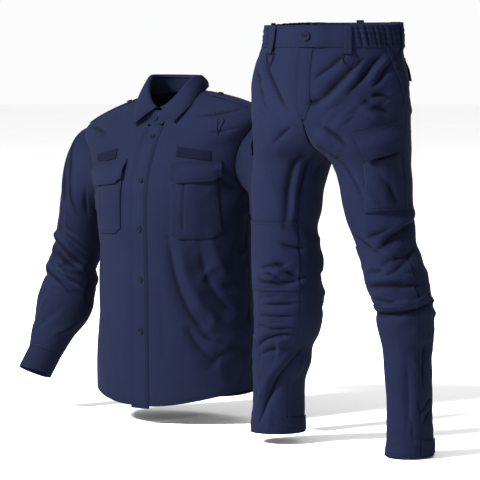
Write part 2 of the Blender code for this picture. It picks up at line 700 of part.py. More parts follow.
# The trousers: half of them at each height, from the hem up. Above the fork the two halves meet.
FORK = 0.235
LEGS = {
    -1: table(
        "z centre half middle front back",
        (-0.420, 0.1592, 0.0610, 0.020, 0.067, 0.067),
        (-0.397, 0.1592, 0.0604, 0.020, 0.067, 0.067),
        (-0.339, 0.1555, 0.0586, 0.015, 0.065, 0.065),
        (-0.292, 0.1474, 0.0600, 0.005, 0.065, 0.066),
        (-0.255, 0.1360, 0.0660, -0.003, 0.073, 0.073),
        (-0.213, 0.1270, 0.0670, -0.010, 0.074, 0.074),
        (-0.188, 0.1165, 0.0722, -0.015, 0.080, 0.080),
        (-0.139, 0.1039, 0.0770, -0.025, 0.085, 0.085),
        (-0.090, 0.1005, 0.0770, -0.030, 0.085, 0.085),
        (-0.018, 0.1050, 0.0771, -0.028, 0.085, 0.085),
        (0.024, 0.1100, 0.0756, -0.025, 0.083, 0.083),
        (0.066, 0.1165, 0.0724, -0.020, 0.080, 0.080),
        (0.098, 0.1151, 0.0769, -0.015, 0.085, 0.085),
        (0.164, 0.1127, 0.0815, -0.010, 0.090, 0.092),
        (0.235, 0.0940, 0.0940, 0.000, 0.108, 0.112),
        (0.245, 0.0875, 0.1005, 0.000, 0.113, 0.118),
        (0.270, 0.0674, 0.1226, 0.000, 0.120, 0.124),
        (0.300, 0.0457, 0.1473, 0.000, 0.126, 0.128),
        (0.340, 0.0120, 0.1850, 0.000, 0.129, 0.131),
        (0.390, 0.0000, 0.1980, 0.000, 0.129, 0.130),
        (0.430, 0.0000, 0.1890, 0.000, 0.127, 0.128),
        (0.480, 0.0000, 0.1715, 0.000, 0.122, 0.122),
        (0.550, 0.0000, 0.1640, 0.000, 0.119, 0.118),
    ),
    1: table(
        "z centre half middle front back",
        (-0.442, 0.2178, 0.0535, -0.030, 0.059, 0.059),
        (-0.391, 0.2190, 0.0514, -0.030, 0.056, 0.056),
        (-0.320, 0.2185, 0.0497, -0.030, 0.055, 0.055),
        (-0.252, 0.2169, 0.0524, -0.035, 0.058, 0.058),
        (-0.197, 0.2168, 0.0542, -0.040, 0.060, 0.060),
        (-0.145, 0.2138, 0.0623, -0.043, 0.069, 0.069),
        (-0.099, 0.2120, 0.0651, -0.045, 0.072, 0.072),
        (-0.058, 0.1941, 0.0684, -0.040, 0.075, 0.075),
        (-0.013, 0.1763, 0.0677, -0.030, 0.075, 0.075),
        (0.037, 0.1530, 0.0666, -0.025, 0.074, 0.074),
        (0.085, 0.1364, 0.0732, -0.020, 0.081, 0.081),
        (0.129, 0.1247, 0.0772, -0.015, 0.085, 0.086),
        (0.170, 0.1189, 0.0794, -0.010, 0.088, 0.092),
        (0.235, 0.0940, 0.0940, 0.000, 0.108, 0.112),
        (0.245, 0.0875, 0.1005, 0.000, 0.113, 0.118),
        (0.270, 0.0674, 0.1226, 0.000, 0.120, 0.124),
        (0.300, 0.0457, 0.1473, 0.000, 0.126, 0.128),
        (0.340, 0.0120, 0.1850, 0.000, 0.129, 0.131),
        (0.390, 0.0000, 0.1980, 0.000, 0.129, 0.130),
        (0.430, 0.0000, 0.1890, 0.000, 0.127, 0.128),
        (0.480, 0.0000, 0.1715, 0.000, 0.122, 0.122),
        (0.550, 0.0000, 0.1640, 0.000, 0.119, 0.118),
    ),
}
OUTSEAM = table("z angle", (-0.46, -32), (-0.10, -28), (0.05, -18), (0.30, -1), (0.55, 2))
HIP_SHIFT = -0.006      # the hips stand a little to the wearer's right of the waist
INSEAM = table("z angle", (-0.46, -145), (0.05, -146), (0.16, -152), (FORK, -180))
WAISTBAND_BOTTOM, WAISTBAND_FRONT, WAISTBAND_BACK = 0.480, 0.530, 0.538
WAISTBAND_WALL = 0.0030

# Leg folds, each from one angle round the leg (0 outside, -90 front) and height to another.
LEG_FOLDS = {
    -1: table(
        "a0 b0 a1 b1 width height",
        (-60, -0.112, -150, -0.104, 0.020, -0.0070),
        (-60, -0.158, -160, -0.145, 0.020, -0.0060),
        (-56, -0.215, -140, -0.185, 0.022, -0.0060),
        (-158, -0.232, -70, -0.390, 0.022, -0.0100),
        (-130, 0.240, -118, 0.085, 0.020, -0.0050),
        (-20, -0.100, 60, -0.060, 0.020, -0.0060),
        (80, -0.080, 170, -0.040, 0.020, -0.0070),
        (60, -0.150, 160, -0.120, 0.020, -0.0060),
        (50, 0.200, 100, 0.080, 0.024, -0.0050),
    ),
    1: table(
        "a0 b0 a1 b1 width height",
        (-95, 0.050, 20, 0.078, 0.022, -0.0090),
        (-150, -0.125, 0, -0.110, 0.020, -0.0060),
        (-148, -0.060, -60, -0.075, 0.022, 0.0030),
        (-140, 0.060, -70, 0.020, 0.018, -0.0045),
        (-120, 0.250, -80, 0.130, 0.022, -0.0045),
        (20, -0.100, 110, -0.060, 0.020, -0.0060),
        (80, -0.050, 170, -0.010, 0.020, -0.0070),
        (60, -0.150, 160, -0.120, 0.020, -0.0060),
        (-90, -0.250, -30, -0.300, 0.022, -0.0040),
    ),
}
LEG_GIRTH = 0.48
for folds in LEG_FOLDS.values():
    folds["a0"] *= LEG_GIRTH / 360
    folds["a1"] *= LEG_GIRTH / 360

# Folds over the hips, in metres across the front or back and in height.
HIP_FOLDS = table(
    "a0 b0 a1 b1 width height",
    (0.132, 0.444, 0.040, 0.325, 0.020, -0.0060),
    (0.150, 0.420, 0.075, 0.300, 0.022, 0.0045),
    (-0.120, 0.430, -0.045, 0.320, 0.022, -0.0050),
    (0.050, 0.300, 0.120, 0.240, 0.022, -0.0050),
)
SEAT_FOLDS = table(
    "a0 b0 a1 b1 width height",
    (0.120, 0.400, 0.050, 0.290, 0.026, -0.0055),
    (-0.125, 0.400, -0.050, 0.290, 0.026, -0.0055),
    (0.060, 0.270, 0.150, 0.240, 0.022, -0.0050),
    (-0.060, 0.270, -0.150, 0.240, 0.022, -0.0050),
)


def leg_smooth(side, angle, z):
    """Half the trousers without folds. Angle 0 is the outer side, -90 the front and 90 the back."""
    rows = LEGS[side]
    turn = np.radians(angle)
    centre, half = smooth(rows, "centre", z), smooth(rows, "half", z)
    depth = np.where(np.sin(turn) < 0, smooth(rows, "front", z), smooth(rows, "back", z))
    y = smooth(rows, "middle", z) + depth * np.sin(turn)
    return points(side * (centre + half * np.cos(turn)), y, z)


def leg(side, angle, z, lift=0.0):
    """Points on the trousers, lift metres out from the cloth's inner face."""
    angle, z = np.broadcast_arrays(np.asarray(angle, float), np.asarray(z, float))

    def scaled(u, v):
        return leg_smooth(side, u * 100, v)

    across = (angle + 180) % 360 - 180
    across = np.where((angle > 180) | (angle < -180), angle - 360 * np.sign(angle), across)
    fold = fold_depth(LEG_FOLDS[side], across * LEG_GIRTH / 360, z)
    plain = leg_smooth(side, angle, z)
    front = np.sin(np.radians(angle)) < 0
    hips = np.where(
        front, fold_depth(HIP_FOLDS, plain[..., 0], z), fold_depth(SEAT_FOLDS, plain[..., 0], z)
    )
    fold = fold + hips * ease(abs(plain[..., 0]), 0.01, 0.05)
    fold = fold * ease(WAISTBAND_BOTTOM - z, 0.0, 0.03)
    place = lifted(scaled, angle / 100, z, fold + lift, side)
    place[..., 0] += HIP_SHIFT * ease(z, 0.10, 0.32) * (1 - ease(z, 0.42, 0.52))
    return turned(place, TROUSERS_YAW, TROUSERS_PLACE)


def centre_angle(side, z):
    """How far round the front panel goes before it meets the other half, as an angle above 0."""
    rows = LEGS[side]
    centre, half = smooth(rows, "centre", z), smooth(rows, "half", z)
    room = SEAM / 2 + WALL * centre / half
    return np.degrees(np.arccos(np.clip((room - centre) / half, -1, 1)))


# Panel rows: closer over the knees and the fork.
TROUSER_STEPS = {
    -1: (-0.420, -0.38, -0.335, -0.29, -0.25, -0.21, -0.18, -0.155, -0.13, -0.105),
    1: (-0.442, -0.39, -0.34, -0.29, -0.25, -0.21, -0.175, -0.145, -0.12, -0.10),
}
UPPER_STEPS = (-0.075, -0.04, 0.0, 0.03, 0.055, 0.08, 0.115, 0.155, 0.20)
HIP_STEPS = (FORK, 0.26, 0.29, 0.325, 0.36, 0.40, 0.44, WAISTBAND_BOTTOM - SEAM)


def trouser_panel(name, side, back):
    z = np.array(TROUSER_STEPS[side] + UPPER_STEPS + HIP_STEPS)[:, None]
    hips = z >= FORK
    outer = smooth(OUTSEAM, "angle", z)
    inner = np.where(hips, -centre_angle(side, z), smooth(INSEAM, "angle", np.minimum(z, FORK)))
    inner = np.maximum(inner, -179.5)
    if back:
        outer, inner = np.where(hips, centre_angle(side, z), 360 + inner), outer
        outer = np.minimum(outer, np.where(hips, 179.5, 360))
    across = np.linspace(0, 1, 11)[None, :]
    grid = trim(leg(side, inner + (outer - inner) * across, z), left=True, right=True)
    return cloth(name, grid, flip=side < 0)


def hips(x, z, lift=0.0):
    """Points on the trousers' front above the fork, given as they are seen from straight in front."""
    x, z = np.broadcast_arrays(np.asarray(x, float), np.asarray(z, float))
    made = []
    for side in (-1, 1):
        centre, half = smooth(LEGS[side], "centre", z), smooth(LEGS[side], "half", z)
        angle = -np.degrees(np.arccos(np.clip((abs(x) - centre) / half, -0.999, 0.999)))
        made.append(leg(side, angle, z, lift))
    return np.where((x >= 0)[..., None], made[1], made[0])


def band(angle, z, lift):
    """Points round the waist, where one angle goes all round: 0 is the left side, -90 the front."""
    angle, z = np.broadcast_arrays(np.asarray(angle, float), np.asarray(z, float))
    return leg(1, angle, z, lift)


def gathers(angle):
    """Elastic draws the waistband's sides into soft waves, uneven in depth."""
    from_side = np.degrees(np.arcsin(np.sin(np.radians(angle)))) * np.sign(np.cos(np.radians(angle)))
    from_side = np.where(np.cos(np.radians(angle)) < 0, -from_side, from_side)
    place = ease(from_side, -38, -28) * (1 - ease(from_side, 48, 60))
    wave = np.sin(np.radians(from_side * 40)) + 0.35 * np.sin(np.radians(from_side * 23 + 40))
    return 0.0011 * place * wave


def waistband():
    """One strip round the waist. Its left end lies over its right one and takes the button."""
    start, end = -78.0, -456.0
    parts = (
        np.linspace(start, -130, 6),
        np.linspace(-138, -242, 26),
        np.linspace(-252, -288, 4),
        np.linspace(-298, -402, 26),
        np.linspace(-410, end, 8),
    )
    angles = np.concatenate(parts)[None, ::-1]
    share = np.array((0.0, 0.5, 1.0))[:, None]
    over = (1 - ease(angles, -438, -428)) * (WAISTBAND_WALL + 2 * SEAM)
    back = ease(np.sin(np.radians(angles)), -0.3, 0.8)
    top = WAISTBAND_FRONT + (WAISTBAND_BACK - WAISTBAND_FRONT) * back
    low = WAISTBAND_BOTTOM + SEAM / 2
    z = low + (top - low) * share
    lift = gathers(angles) * np.array((0.3, 1.0, 1.0))[:, None] + over
    return cloth("waistband", band(angles, z, lift), wall=WAISTBAND_WALL)


def fly():
    """The left front's edge, which lies over the right front and is stitched down its curved side."""
    z = np.linspace(0.318, WAISTBAND_BOTTOM - 2 * SEAM, 10)[:, None]
    across = np.linspace(0, 1, 5)[None, :]
    left = -0.020 + 0.016 * (1 - ease(z, 0.31, 0.36))
    right = 0.016 * ease(z, 0.30, 0.36) + 0.004
    return cloth("fly", hips(left + (right - left) * across, z, ON_CLOTH + SEAM))


LOOP_WALL = 0.0014
RING_LOOPS = table(
    "lift z",
    (0.0037, 0.5285),
    (0.0068, 0.518),
    (0.0074, 0.500),
    (0.0077, 0.482),
    (0.0077, 0.4680),
    (0.00715, 0.4664),
    (0.00595, 0.4658),
    (0.0047, 0.4664),
    (0.0040, 0.4680),
    (0.0036, 0.4750),
)
PLAIN_LOOPS = table(
    "lift z",
    (0.0042, 0.530),
    (0.0074, 0.520),
    (0.0078, 0.500),
    (0.0070, 0.483),
    (0.0038, 0.470),
    (0.0023, 0.464),
)
RING_BAR = (0.00595, 0.4682)        # lift and height of the bar inside a front loop's tunnel
RING_WIRE, RING_HALF, RING_DROP = 0.0013, 0.0135, 0.030
FRONT_LOOP_ANGLE = 55.0
LOOP_HALF = 0.0085


def belt_loop(name, angle, profile, raised=0.0):
    """A strip from the waistband's top to below it. A ring loop turns back up round its ring's bar."""
    reach = math.degrees(LOOP_HALF / 0.15)
    across = np.linspace(-reach, reach, 3)[None, :]
    lift, z = profile["lift"][::-1, None], profile["z"][::-1, None]
    return cloth(name, band(angle + across, z + raised * ease(z, 0.49, 0.53), lift), wall=LOOP_WALL)


def ring(name, angle):
    """A D-shaped ring that hangs from its bar against the cloth."""
    lift, z = RING_BAR
    bar = band(angle, z, lift)
    side = unit(band(angle + 3, z, lift) - band(angle - 3, z, lift))
    down = band(angle, z - RING_DROP, lift + 0.0005) - bar
    down = unit(down - (down @ side) * side)
    outline = [(-RING_HALF, 0.0), (0.0, 0.0), (RING_HALF, 0.0)]
    for step in range(13):
        turn = math.pi * step / 12
        wide = RING_HALF * (1.0 - 0.12 * math.sin(turn))
        outline.append((wide * math.cos(turn), 0.008 + (RING_DROP - 0.008) * math.sin(turn) ** 0.8))
    curve = bpy.data.curves.new(name, "CURVE")
    curve.dimensions = "3D"
    curve.bevel_depth = RING_WIRE
    curve.bevel_resolution = 1
    curve.use_fill_caps = True
    path = curve.splines.new("POLY")
    path.points.add(len(outline) - 1)
    for point, (a, b) in zip(path.points, outline):
        point.co = (*(bar + side * a + down * b), 1)
    path.use_cyclic_u = True
    curve.materials.append(CLOTH["ring"])
    obj = bpy.data.objects.new(name, curve)
    PARTS.objects.link(obj)
    return obj


# Pieces that lie on the trousers, each between two angles round the leg and two heights.
PATCHES = {
    "cargo_pocket": dict(low=-62, high=-12, top=0.262, bottom=0.108),
    "cargo_flap": dict(low=-62, high=-13, top=0.290, bottom=0.226),
    "back_pocket_flap": dict(low=28, high=66, top=0.455, bottom=0.402),
    "hem_tab": dict(low=-30, high=40, top=0.038, bottom=0.006),
}
FLAP_TILT = 0.024       # the cargo flap and pocket are higher at their back edge
CARGO_TURN = {-1: 50, 1: 0}             # the right leg is twisted, and its pocket faces back
CARGO_FLARE = {-1: 0, 1: -20}           # how far the pocket's front edge swings forward at its foot
CARGO_BULGE = {-1: 0.005, 1: 0.010}
KNEES = {-1: (-0.076, 0.081), 1: (-0.101, 0.031)}        # each knee panel's bottom and top


def leg_patch(name, side, low, high, top, bottom, lift, columns, rows, tilt=0.0, flare=0.0):
    across = np.linspace(0, 1, columns + 1)[None, :]
    up = np.linspace(0, 1, rows + 1)[:, None]
    z = bottom + (top - bottom) * up + tilt * across
    low = low + flare * (1 - up)
    grid = leg(side, low + (high - low) * across, z, lift(across, up))
    return cloth(name, grid, flip=side < 0)


def cargo(word, side):
    pocket, flap = PATCHES["cargo_pocket"], PATCHES["cargo_flap"]
    turn, bulge = CARGO_TURN[side], CARGO_BULGE[side]

    def pocket_lift(across, up):
        stand = np.sin(math.pi * across) ** 0.5 * np.sin(math.pi * np.clip(up * 0.75 + 0.02, 0, 0.6)) ** 0.5
        return ON_CLOTH + bulge * stand

    def flap_lift(across, up):
        stand = np.sin(math.pi * (0.13 + 0.74 * across)) ** 0.5 * (1 - ease(up, 0.35, 1.0))
        under = (1 - ease(up, 0.45, 1.0)) * (WALL + LAY + 0.002)
        return ON_CLOTH + under + bulge * stand

    leg_patch(
        f"cargo_pocket_{word}", side, pocket["low"] + turn, pocket["high"] + turn, pocket["top"],
        pocket["bottom"], pocket_lift, 7, 6, FLAP_TILT * 0.3, CARGO_FLARE[side],
    )
    leg_patch(
        f"cargo_flap_{word}", side, flap["low"] + turn, flap["high"] + turn, flap["top"], flap["bottom"],
        flap_lift, 7, 4, FLAP_TILT,
    )


def flat_lift(across, up):
    return ON_CLOTH + 0 * across * up


def knee_panel(name, side):
    """A second layer over the knee, from seam to seam, on the same rows as the front below it."""
    bottom, top = KNEES[side]
    steps = TROUSER_STEPS[side] + UPPER_STEPS
    z = np.array([step for step in steps if bottom <= step <= top])[:, None]
    inner, outer = smooth(INSEAM, "angle", z), smooth(OUTSEAM, "angle", z)
    across = np.linspace(0.015, 0.985, 11)[None, :]
    return cloth(name, leg(side, inner + (outer - inner) * across, z, ON_CLOTH), flip=side < 0)


def trouser_trims(word, side):
    cargo(word, side)
    flap = PATCHES["back_pocket_flap"]
    leg_patch(
        f"back_pocket_flap_{word}", side, flap["low"], flap["high"], flap["top"], flap["bottom"],
        lambda across, up: flat_lift(across, up) + 0.003 * (1 - ease(up, 0.2, 1)), 5, 4,
    )
    knee_panel(f"knee_panel_{word}", side)
    tab = PATCHES["hem_tab"]
    hem = LEGS[side]["z"][0]
    turn = (tab["low"], tab["high"]) if side > 0 else (-208, -128)
    leg_patch(
        f"hem_tab_{word}", side, *turn, hem + tab["top"], hem + tab["bottom"], flat_lift, 6, 2,
    )
    z = np.linspace(0.350, WAISTBAND_BOTTOM - 2 * SEAM, 8)[:, None]
    width = np.array((0.0, 0.5, 1.0))[None, :] * 4.5
    edge = -20 + 13 * (1 - ease(z, 0.34, 0.50))
    grid = leg(side, edge + width, z, ON_CLOTH + SEAM)
    cloth(f"pocket_edge_{word}", grid, flip=side < 0)


def build_trousers():
    for word, side in (("right", -1), ("left", 1)):
        trouser_panel(f"trouser_front_{word}", side, back=False)
        trouser_panel(f"trouser_back_{word}", side, back=True)
        trouser_trims(word, side)
        angle = -FRONT_LOOP_ANGLE if side > 0 else -180 + FRONT_LOOP_ANGLE
        belt_loop(f"ring_loop_{word}", angle, RING_LOOPS)
        ring(f"ring_{word}", angle)
        angle = 6.0 if side > 0 else 174.0
        belt_loop(f"side_loop_{word}", angle, PLAIN_LOOPS, 0.006)
    belt_loop("back_loop", 90.0, PLAIN_LOOPS, 0.013)
    waistband()
    fly()
    at = 2 * WAISTBAND_WALL + 5 * SEAM
    outward = facing(lambda u, v: band(u, v, at), -89.0, 0.505, 1.0, 0.004)
    button("waist_button", band(-89.0, 0.505, at), outward, 0.021, 0.0035)


clear_scene()
finish_material("ripstop", (0.020, 0.027, 0.075), 0.75)
finish_material("hook_tape", (0.010, 0.012, 0.030), 0.95)
finish_material("button", (0.015, 0.020, 0.055), 0.40)
finish_material("ring", (0.010, 0.012, 0.022), 0.35, 0.4)
build_shirt()
build_trousers()
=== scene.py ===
# %% [markdown]
# # A navy field uniform: long-sleeved shirt and cargo trousers
# Both garments are filled out with nobody in them, so every piece of cloth is a thin wall that
# bends round a hollow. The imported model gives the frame: each visible piece below takes the place
# of one plain solid, on the same curved form, with finer folds, seams, thread and weave.

# %% Loading the frame
import math

import bpy
import numpy as np
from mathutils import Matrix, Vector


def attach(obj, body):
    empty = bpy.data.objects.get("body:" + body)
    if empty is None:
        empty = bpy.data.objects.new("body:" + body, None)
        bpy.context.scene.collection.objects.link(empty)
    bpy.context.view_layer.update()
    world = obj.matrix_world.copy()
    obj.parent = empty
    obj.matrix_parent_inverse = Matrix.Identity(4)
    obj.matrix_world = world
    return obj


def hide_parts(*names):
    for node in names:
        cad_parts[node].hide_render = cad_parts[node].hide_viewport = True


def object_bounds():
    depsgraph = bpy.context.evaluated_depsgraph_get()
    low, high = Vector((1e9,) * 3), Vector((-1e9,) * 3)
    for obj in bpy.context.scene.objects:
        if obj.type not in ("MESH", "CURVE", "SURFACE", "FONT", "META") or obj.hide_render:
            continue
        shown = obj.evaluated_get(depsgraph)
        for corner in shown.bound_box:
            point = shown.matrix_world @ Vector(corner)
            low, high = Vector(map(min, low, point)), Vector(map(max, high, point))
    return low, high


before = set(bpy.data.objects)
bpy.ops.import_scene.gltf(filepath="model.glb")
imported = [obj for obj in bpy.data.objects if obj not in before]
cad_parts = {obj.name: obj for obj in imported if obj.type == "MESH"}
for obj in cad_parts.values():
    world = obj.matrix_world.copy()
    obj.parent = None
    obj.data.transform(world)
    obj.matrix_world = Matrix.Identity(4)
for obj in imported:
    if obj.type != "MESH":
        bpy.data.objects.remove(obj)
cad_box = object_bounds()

# %% [markdown]
# Real ripstop is about a third of a millimetre thick, but a hem or a seam is three or four layers
# of it, so a wall of 1.6 mm reads well. The sizes here are those of the plain solids.

# %% Sizes
WALL = 0.0016           # one layer of ripstop cloth, with its seam allowance
COLLAR_WALL = 0.0022    # two layers and an interlining
TAPE_WALL = 0.0012      # name strips and pen loop
SEAM = 0.0003           # gap between two pieces at a seam
TUCKED = 0.004          # how far a panel runs up inside the band it is sewn to
LAY = 0.0009            # gap under a piece that lies on another
ON_CLOTH = WALL + LAY   # how far such a piece is moved out from the panel's inner face
SPACING = 0.0046        # between the points of a panel
SHOULDER_HEIGHT = 0.300
SIDES = {"right": -1, "left": 1}
SHIRT_PLACE, SHIRT_YAW = (0.0, 0.0), 33.0
TROUSERS_PLACE, TROUSERS_YAW = (0.3696, -0.54), 32.0

# %% [markdown]
# A tapering tube of cloth is easiest to say as a short table of cross-sections, read along a
# smooth curve. These helpers read such tables, turn a garment into place and set points out
# along a surface's own normal, which is how a fold or a pocket gets its depth.

# %% Helpers for sections and surfaces
def table(names, *rows):
    """Sections as a dict that holds one array for each named column."""
    return dict(zip(names.split(), np.array(rows, float).T))


def hermite(t, start, leave, end, arrive):
    """A curve from start to end, with the slopes it leaves and arrives with."""
    return (
        (2 * t**3 - 3 * t**2 + 1) * start
        + (t**3 - 2 * t**2 + t) * leave
        + (3 * t**2 - 2 * t**3) * end
        + (t**3 - t**2) * arrive
    )


def smooth(sections, name, at):
    """A column read between its rows along a smooth curve, with the first column as the scale."""
    scale = next(iter(sections.values()))
    column = sections[name]
    slope = np.gradient(column, scale)
    low = np.clip(np.searchsorted(scale, at) - 1, 0, len(scale) - 2)
    step = scale[low + 1] - scale[low]
    t = np.clip((at - scale[low]) / step, 0, 1)
    return hermite(t, column[low], step * slope[low], column[low + 1], step * slope[low + 1])


def ease(value, low, high):
    """0 below low, 1 above high and a soft step between them."""
    t = np.clip((value - low) / (high - low), 0, 1)
    return t * t * (3 - 2 * t)


def between(low, high, share):
    return low + (high - low) * share


def unit(vectors):
    return vectors / np.linalg.norm(vectors, axis=-1, keepdims=True)


def points(x, y, z):
    return np.stack(np.broadcast_arrays(x, y, z), axis=-1)


NUDGE = 0.002       # the small step that a surface's slope is measured over


def lifted(surface, u, v, lift, outward):
    """Points of a surface moved out along its normal. outward is 1 or -1."""
    du = surface(u + NUDGE, v) - surface(u - NUDGE, v)
    dv = surface(u, v + NUDGE) - surface(u, v - NUDGE)
    normal = unit(np.cross(du, dv)) * outward
    lift = np.asarray(lift, float)
    return surface(u, v) + normal * (lift[..., None] if lift.ndim else lift)


def turned(place, yaw, at):
    c, s = math.cos(math.radians(yaw)), math.sin(math.radians(yaw))
    x, y, z = np.moveaxis(place, -1, 0)
    return points(at[0] + c * x + s * y, at[1] - s * x + c * y, z - SHOULDER_HEIGHT)


BESIDE_SEAM = np.array((0, 0.0012, 0.0026, 0.0048))     # the points next to a sewn edge
EVEN_FROM = 0.0085                                      # and where the even ones start
SHORT, SHORT_POINTS = 0.030, 8


def shares(length, spacing=SPACING):
    """Shares from 0 to 1 along a length, closer together beside both ends, where seams lie."""
    if length < SHORT:
        return np.linspace(0, 1, SHORT_POINTS)
    middle = np.linspace(EVEN_FROM, length - EVEN_FROM, int(length / spacing))
    return np.concatenate((BESIDE_SEAM, middle, length - BESIDE_SEAM[::-1])) / length


DIP_DEPTH, DIP_WIDTH = 0.0010, 0.0030


def dip(share, length):
    """Cloth is drawn in where it is sewn: a shallow groove along both ends of a length."""
    from_end = np.minimum(share, 1 - share) * length
    return -DIP_DEPTH * np.exp(-((from_end / DIP_WIDTH) ** 2))


def put(name, data):
    """A new object in the scene."""
    obj = bpy.data.objects.new(name, data)
    bpy.context.scene.collection.objects.link(obj)
    return obj


print("points across a 250 mm panel:", len(shares(0.25)))

# %% [markdown]
# Folds come in two kinds. The ones that can be seen and named are listed in a table: each
# runs from one spot to another, bows a little, and one flank is steeper than the other, as it is
# in stiff cloth. Where cloth is crushed, at elbows, knees and the fork, a smooth random field with
# sharp crests adds small creases, and a seed keeps them the same on every run.

# %% Folds
FOLD_COLUMNS = "a0 b0 a1 b1 bend width height"
STEEP, GENTLE = 1.5, 0.8        # the two flanks of a fold
TAPER = 0.55                    # a fold's width at its ends, as a share of its middle
CREST = 0.72                    # below 1 the crest is sharp
MILLIMETRE = 0.001


def fold_table(*rows, girth=None, deeper=1.0, wider=1.0):
    """Folds in millimetres. With a girth in metres, a0 and a1 are degrees round a tube instead."""
    made = table(FOLD_COLUMNS, *rows)
    turned_by = girth / 360 if girth else MILLIMETRE
    factors = {"a0": turned_by, "a1": turned_by, "width": MILLIMETRE * wider}
    factors["height"] = MILLIMETRE * deeper
    return {name: column * factors.get(name, MILLIMETRE) for name, column in made.items()}


def fold_depth(folds, across, along):
    """How far the cloth stands out (or in, below 0) at a place, for a table of folds."""
    total = np.zeros(np.broadcast(across, along).shape)
    for a0, b0, a1, b1, bend, width, height in zip(*folds.values()):
        run = math.hypot(a1 - a0, b1 - b0)
        ta, tb = (a1 - a0) / run, (b1 - b0) / run
        t = ((across - a0) * ta + (along - b0) * tb) / run
        kept = np.clip(t, 0, 1)
        side = (along - b0) * ta - (across - a0) * tb - bend * 4 * kept * (1 - kept)
        wide = width * (TAPER + (1 - TAPER) * np.sin(math.pi * kept))
        flank = np.where(side > 0, STEEP, GENTLE)
        away = (side / wide) ** 2 * flank + ((t - kept) * run / width) ** 2
        body = np.sin(math.pi * np.clip(kept, 0.04, 0.96)) ** 0.7
        total += height * body * np.exp(-(away**CREST))
    return total


MOST_BEND = 0.12        # of a strewn fold's length


def scattered(seed, count, a, b, lean, length, width, height):
    """A table of folds strewn over a patch, uneven in place, length, lean and depth."""
    draw = np.random.default_rng(seed)
    rows = []
    for _ in range(count):
        turn, long = math.radians(draw.uniform(*lean)), draw.uniform(*length)
        da, db = math.cos(turn) * long / 2, math.sin(turn) * long / 2
        ca, cb = draw.uniform(*a), draw.uniform(*b)
        bend = draw.uniform(-MOST_BEND, MOST_BEND) * long
        deep = draw.uniform(*height) * draw.choice((-1, -1, 1))
        rows.append((ca - da, cb - db, ca + da, cb + db, bend, draw.uniform(*width), deep))
    return table(FOLD_COLUMNS, *rows)


def joined(*tables):
    return {name: np.concatenate([one[name] for one in tables]) for name in tables[0]}


LATTICE = 32


def ripple(place, seed, sizes, lean=0.0):
    """A smooth random field from -1 to 1 in space. sizes are its cells along x, y and z."""
    heights = np.random.default_rng(seed).uniform(-1, 1, (LATTICE,) * 3)
    c, s = math.cos(math.radians(lean)), math.sin(math.radians(lean))
    x, y, z = np.moveaxis(place, -1, 0)
    spot = points(c * x + s * z, y, c * z - s * x) / np.array(sizes) + 100
    cell = np.floor(spot).astype(int)
    t = spot - cell
    t = t * t * (3 - 2 * t)
    total = 0.0
    for corner in np.ndindex(2, 2, 2):
        i, j, k = np.moveaxis((cell + corner) % LATTICE, -1, 0)
        weight = np.prod(np.where(np.array(corner) == 1, t, 1 - t), axis=-1)
        total = total + weight * heights[i, j, k]
    return total


def creases(place, seed, sizes, lean=0.0):
    """The same field folded at its zero lines, which gives long sharp crests."""
    return 1 - 2.2 * abs(ripple(place, seed, sizes, lean)) ** 0.8


def near(x, z, at_x, at_z, wide, tall):
    """1 at a spot, fading out round it."""
    return np.exp(-(((x - at_x) / wide) ** 2) - ((z - at_z) / tall) ** 2)


print("a fold is", FOLD_COLUMNS)

# %% [markdown]
# Navy is dark, so most of what the eye reads is the shade inside folds, much of it painted. The
# ripstop finish has a base colour that drifts a little, a thread grid every 5 mm and a fine weave.
# Two values stored on the mesh do the rest: the distance to the sewn edge gives the two grooves
# beside it, as bumps with painted shade, and how hollow the cloth is paints shade into troughs.

# %% Material helpers
def rgb(text):
    """A colour written as an sRGB hex number, as linear values for a shader."""
    parts = [int(text[i:i + 2], 16) / 255 for i in (0, 2, 4)]
    linear = [p / 12.92 if p <= 0.04045 else ((p + 0.055) / 1.055) ** 2.4 for p in parts]
    return (*linear, 1.0)


def add(tree, kind, inputs=None, **settings):
    """One node, with its settings and with its inputs set or linked."""
    made = tree.nodes.new(kind)
    for name, value in settings.items():
        setattr(made, name, value)
    for name, value in (inputs or {}).items():
        if isinstance(value, bpy.types.NodeSocket):
            tree.links.new(value, made.inputs[name])
        else:
            made.inputs[name].default_value = value
    return made


def sums(tree, operation, first, second=0.0, third=0.0):
    inputs = {0: first, 1: second, 2: third}
    return add(tree, "ShaderNodeMath", inputs, operation=operation).outputs[0]


def new_material(name, roughness, sheen=0.0, specular=0.10):
    material = bpy.data.materials.new(name)
    material.use_nodes = True
    tree = material.node_tree
    shader = tree.nodes["Principled BSDF"]
    shader.inputs["Roughness"].default_value = roughness
    shader.inputs["Sheen Weight"].default_value = sheen
    shader.inputs["Sheen Roughness"].default_value = 0.45
    shader.inputs["Specular IOR Level"].default_value = specular
    return material, tree, shader


def noise(tree, scale, detail=3.0):
    where = add(tree, "ShaderNodeTexCoord").outputs["Object"]
    inputs = {"Vector": where, "Scale": scale, "Detail": detail}
    return add(tree, "ShaderNodeTexNoise", inputs).outputs["Fac"]


def blend(tree, share, low, high):
    """A colour between two hex colours."""
    inputs = {0: share, 6: rgb(low), 7: rgb(high)}
    return add(tree, "ShaderNodeMix", inputs, data_type="RGBA").outputs[2]


# %% Cloth materials
GRID_SIZE = 0.005       # between the ripstop's stronger threads
GRID_LINE = 0.10        # a strong thread's share of that
GRID_RELIEF, WEAVE_RELIEF = 0.35, 0.6
WEAVE = 900.0
STITCH_ROWS = (0.0022, 0.0082)      # how far a felled seam's two rows lie from the edge
GROOVE_HALF = 0.0011
PUCKER_REACH = 0.014                # sewing puckers the cloth this far from the edge
# Painted shade: stitch grooves and fold troughs darken the base colour toward this near-black navy,
# by these shares.
GROOVE_PAINTED_SHADE, HOLLOW_PAINTED_SHADE = 0.30, 0.88
PAINTED_SHADE_COLOUR = "04050B"


